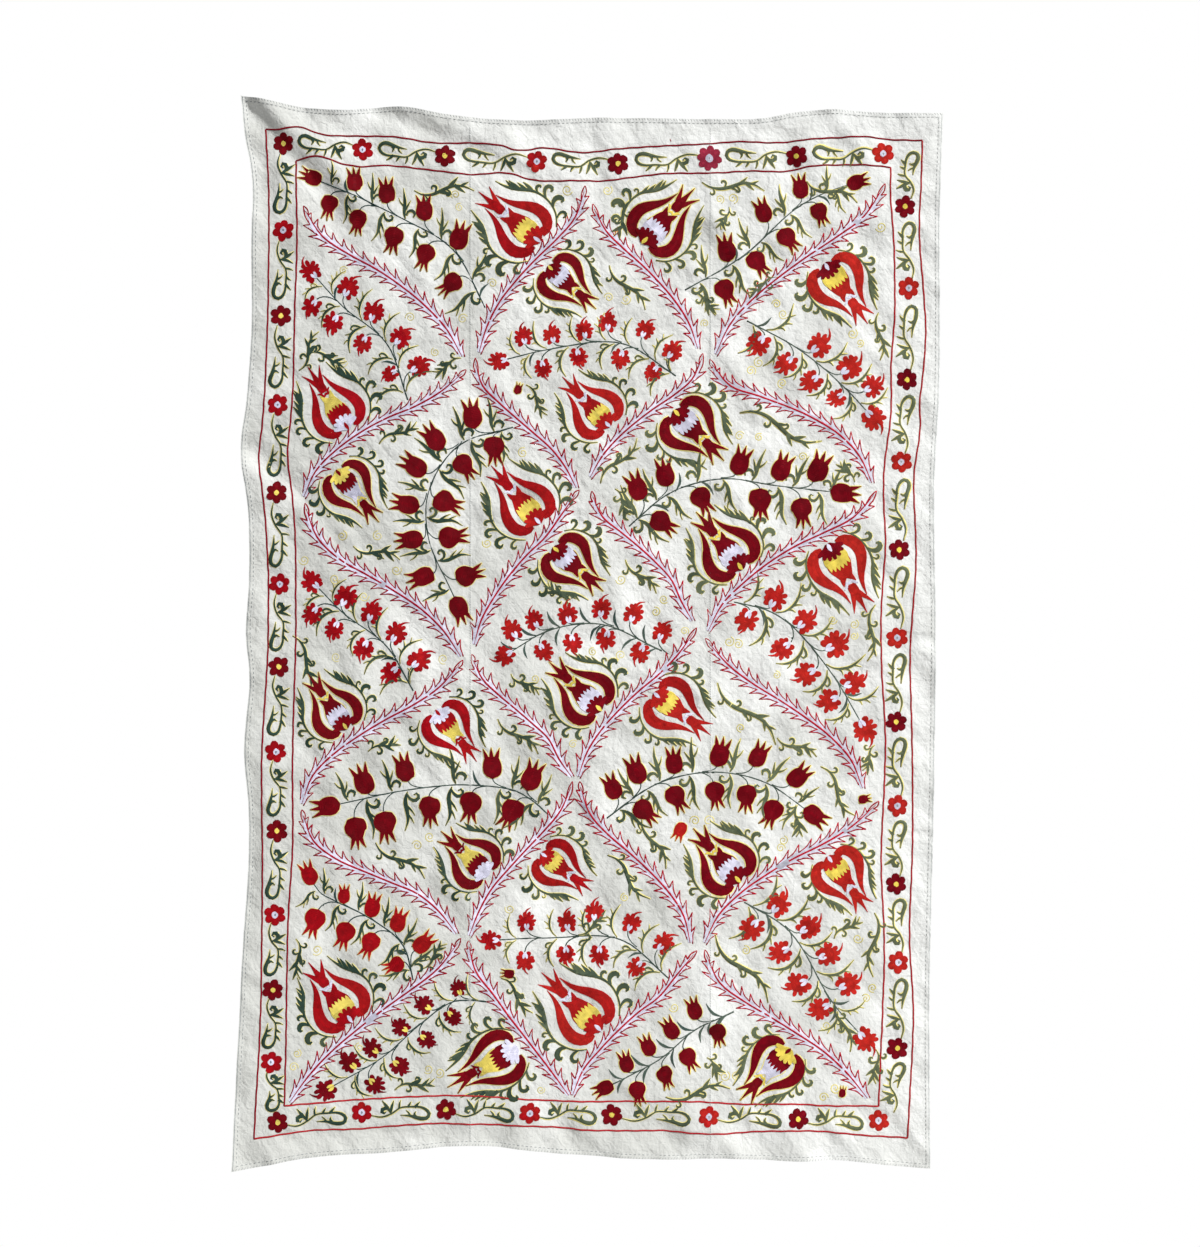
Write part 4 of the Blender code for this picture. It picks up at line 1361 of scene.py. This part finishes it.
def stitches(x, drop, toX, toDrop, colour, lift, half):
    # short lines, widest in the middle
    thin = handStitch["endHalf"]
    for ends in zip(x, drop, toX, toDrop):
        middle = ((ends[0] + ends[2]) / 2, (ends[1] + ends[3]) / 2, half)
        sew("hand_stitches", [(*ends[:2], thin), middle, (*ends[2:], thin)], 3, colour, lift)


def hemAndSeams():
    size = handStitch
    half = size["half"]
    length = widthSize["flatLength"] / mm
    inset = size["hemIn"] / length
    lift = widthSize["hemRise"] + size["aboveHem"]
    places = size["rolledEdgeShadePlaces"]
    down = np.arange(inset, 1 - inset, size["hemPitch"] / length)
    step = size["hemLength"] / length
    for leftX, rightX, across, sign in ((None, 0, 0.0, 1), (0, None, 1.0, -1)):
        side = sign * size["hemIn"]
        x, drop = hungPlaces(leftX, rightX, across, down)[:2]
        toX, toDrop = hungPlaces(leftX, rightX, across, down + step)[:2]
        stitches(x + side, drop, toX + side, toDrop, "hem", lift, half)
        # painted shade: a continuous grey line just inside each side edge, for the shade of the rolled hem
        x, drop = hungPlaces(leftX, rightX, across, np.linspace(0.001, 0.999, places))[:2]
        roll = np.column_stack((x + sign * size["rolledEdgeShadeIn"], drop, np.full(places, size["rolledEdgeShadeHalf"])))
        sew("hand_stitches", roll, 2 * places, "hem", lift)
    width = drape["rightEdge"][0][1] - drape["leftEdge"][0][1]
    across = np.arange(size["hemIn"] / width, 1 - size["hemIn"] / width, size["hemPitch"] / width)
    step = size["hemLength"] / width
    for at in (inset, 1 - inset):
        x, drop = hungPlaces(None, None, across, at)[:2]
        toX, toDrop = hungPlaces(None, None, across + step, at)[:2]
        stitches(x, drop, toX, toDrop, "hem", lift, half)
    across = np.arange(0.002, 0.998, size["edgePitch"] / width)
    for at, sign in ((0, 1), (1, -1)):
        x, drop = hungPlaces(None, None, across, at)[:2]
        toDrop = drop + size["edgeReach"] * sign
        stitches(x, drop + size["edgeIn"] * sign, x + size["edgeAcross"], toDrop, "hem", lift,
                 size["edgeHalf"])
    reach = size["seamReach"]
    for seam in (drape["seamLeft"], drape["seamRight"]):
        drop = np.arange(*size["seamDrops"], size["seamPitch"])
        x = np.full(len(drop), float(seam))
        toDrop = drop + size["seamLength"]
        stitches(x - reach, drop, x + reach, toDrop, "seam", size["seamLift"], half)
    stray = [[value] for value in size["strayStitch"]]
    stitches(*stray, "border", size["strayLift"], size["strayHalf"])


hemAndSeams()
print("hems and seams sewn")


def sections(width, spines, lifts):
    # places across each spine, and how far each stands out: a dome that falls with the square
    # of the place across, with rounded edges sunk into the cloth; a broad form has places
    # under it too, so that its underside follows the folds
    normal = np.stack([beside(spine[:, :2]) for spine in spines])
    half = np.maximum(spines[:, :, 2], sewing["leastHalf"])[..., None]
    under = sewing["under"].get(width, 0)
    top = width - under
    if width == 3:
        sideways = np.concatenate((-half, half * 0, half), -1)
    else:
        inner = np.maximum(half - sewing["edgeRound"], half * 0.5)
        sideways = np.concatenate((-half, inner * np.linspace(-1, 1, top - 2), half,
                                   inner * np.linspace(1, -1, under + 2)[1:-1]), -1)
    rise = np.ones(width)
    rise[0] = 0
    rise[top - 1:] = 0
    dome = 1 - sewing["domeFall"] * (sideways / half) ** 2
    lift = (lifts * dome + sewing["edgeSink"]) * rise - sewing["edgeSink"]
    places = spines[:, :, None, :2] + normal[:, :, None, :] * sideways[..., None]
    return places, lift, half - np.abs(sideways)


def pieceFromForms(name, material, slot, source=None):
    # all forms with as many points across and along are worked out as one array;
    # with a source named, they are that piece's stitches as they come through at the back
    points, uvs, colours = [], [], []
    faces = {}
    first = 0
    for (piece, width, count), group in forms.items():
        if piece != (source or name):
            continue
        spines = np.stack([form[0] for form in group])
        shades = np.stack([form[1] for form in group])
        lifts = np.array([form[2] for form in group])[:, None, None]
        if source:
            fewer = max(sewing["backFewest"], count // 2)
            kept = np.unique(np.linspace(0, count - 1, fewer).round().astype(int))
            spines, count = spines[:, kept], len(kept)
            width = sewing["backWidths"].get(width, min(width, sewing["backMost"]))
            lifts = lifts * sewing["backLift"]
        places, lift, fromEdge = sections(width, spines, lifts)
        if source:
            lift = -widthSize["thickness"] - lift
        block = onCloth(places[..., 0], places[..., 1], lift)
        index = first + np.arange(lift.size).reshape(lift.shape)
        here, after = index[:, :-1], index[:, 1:]
        around = np.roll(np.arange(width), -1)
        quads = np.stack((here, here[..., around], after[..., around], after), -1).reshape(-1, 4)
        ends = np.concatenate((index[:, 0, ::-1], index[:, -1]))
        turnBack = -1 if source else 1
        faces.setdefault(4, []).append(quads[:, ::turnBack])
        faces.setdefault(width, []).append(ends[:, ::turnBack])
        step = np.hypot(*np.moveaxis(np.diff(spines[:, :, :2], axis=1), -1, 0))
        distance = np.concatenate((np.zeros((len(group), 1)), np.cumsum(step, axis=1)), axis=1)
        uv = np.stack((fromEdge, np.broadcast_to(distance[..., None], fromEdge.shape)), -1)
        points.append(block.reshape(-1, 3))
        uvs.append(uv.reshape(-1, 2))
        colours.append(np.repeat(shades, count * width, axis=0))
        first += lift.size
    joined = [np.concatenate(group) for group in faces.values()]
    piece = fillMesh(name, np.concatenate(points), joined, np.concatenate(uvs),
                     np.concatenate(colours))
    if material is fillSilk:
        piece.data.set_sharp_from_angle(angle=np.radians(sewing["sharpFrom"]))
    piece.data.materials.append(material)
    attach(piece, "root")
    print(name, sum(len(f) * (f.shape[1] - 2) for f in joined), "triangles")


for row in (
        ("wine_fillings", fillSilk, "wine_silk"), ("scarlet_fillings", fillSilk, "scarlet_silk"),
        ("pale_fillings", fillSilk, "pale_silk"), ("yellow_fillings", fillSilk, "yellow_silk"),
        ("flower_outlines", lineSilk, "yellow_silk"), ("leaf_outlines", lineSilk, "yellow_silk"),
        ("green_leaves", fillSilk, "green_silk"), ("green_stems", lineSilk, "green_silk"),
        ("branch_lines", lineSilk, "scarlet_silk"), ("border_lines", lineSilk, "wine_silk"),
        ("hand_stitches", lineSilk, "pale_silk"),
        ("wine_back", fillSilk, "wine_silk", "wine_fillings"),
        ("scarlet_back", fillSilk, "scarlet_silk", "scarlet_fillings"),
        ("pale_back", fillSilk, "pale_silk", "pale_fillings"),
        ("yellow_back", fillSilk, "yellow_silk", "yellow_fillings"),
        ("green_back", lineSilk, "green_silk", "green_leaves"),
        ("stem_back", lineSilk, "green_silk", "green_stems"),
        ("branch_back", lineSilk, "scarlet_silk", "branch_lines"),
        ("border_back", lineSilk, "wine_silk", "border_lines")):
    pieceFromForms(*row)

# floor, light and camera
pixel = 0.00207           # metres on the cloth for one pixel of the photograph
studio = {
    "floorDrop": 3.1,
    "floorHalf": 1.7,
    "floorColour": (0.86, 0.86, 0.85, 1),
    "floorRoughness": 0.8,
    "backdrop": (1, 1, 1, 1),
    "skyLight": 0.32,
    "sun": 3.4,
    "sunFrom": (2.3, -2.5, 2.5),
    "sunSpread": 4,
    "distance": 6.0,
    "frameHeight": 1247 * pixel,
    "aimX": (600 - 588) * pixel,
    "aimZ": -(623.5 - 118) * pixel,
    "filmHeight": 36,
}


def makeFloor():
    half, low = studio["floorHalf"], -studio["floorDrop"]
    points = np.array([(-half, -half, low), (half, -half, low), (half, half, low), (-half, half, low)])
    floor = fillMesh("floor", points, [np.array([[0, 1, 2, 3]])])
    material, *_, shader = newMaterial("floor_paint")
    shader.inputs["Base Color"].default_value = studio["floorColour"]
    shader.inputs["Roughness"].default_value = studio["floorRoughness"]
    floor.data.materials.append(material)


def makeLight():
    world = bpy.data.worlds.new("studio")
    bpy.context.scene.world = world
    world.use_nodes = True
    nodes, links = world.node_tree.nodes, world.node_tree.links
    # the sky lights softly but is seen as a plain white backdrop
    soft = nodes["Background"]
    soft.inputs["Color"].default_value = studio["backdrop"]
    soft.inputs["Strength"].default_value = studio["skyLight"]
    seen = nodes.new("ShaderNodeBackground")
    seen.inputs["Color"].default_value = studio["backdrop"]
    seen.inputs["Strength"].default_value = 1.0
    path = nodes.new("ShaderNodeLightPath")
    mix = nodes.new("ShaderNodeMixShader")
    links.new(path.outputs["Is Camera Ray"], mix.inputs[0])
    links.new(soft.outputs[0], mix.inputs[1])
    links.new(seen.outputs[0], mix.inputs[2])
    links.new(mix.outputs[0], nodes["World Output"].inputs[0])
    lamp = bpy.data.lights.new("window", "SUN")
    lamp.energy = studio["sun"]
    lamp.angle = np.radians(studio["sunSpread"])
    sun = bpy.data.objects.new("window", lamp)
    sun.location = studio["sunFrom"]
    away = -np.array(studio["sunFrom"])
    sun.rotation_euler = (np.arctan2(np.hypot(away[0], away[1]), -away[2]), 0,
                          np.arctan2(away[1], away[0]) - np.pi / 2)
    bpy.context.scene.collection.objects.link(sun)


def makeCamera():
    lens = bpy.data.cameras.new("camera")
    lens.lens = studio["filmHeight"] * studio["distance"] / studio["frameHeight"]
    camera = bpy.data.objects.new("camera", lens)
    camera.location = (studio["aimX"], -studio["distance"], studio["aimZ"])
    camera.rotation_euler = (np.pi / 2, 0, 0)
    bpy.context.scene.collection.objects.link(camera)
    bpy.context.scene.camera = camera


makeFloor()
makeLight()
makeCamera()
bpy.context.scene.view_settings.view_transform = "Standard"
print("studio set")
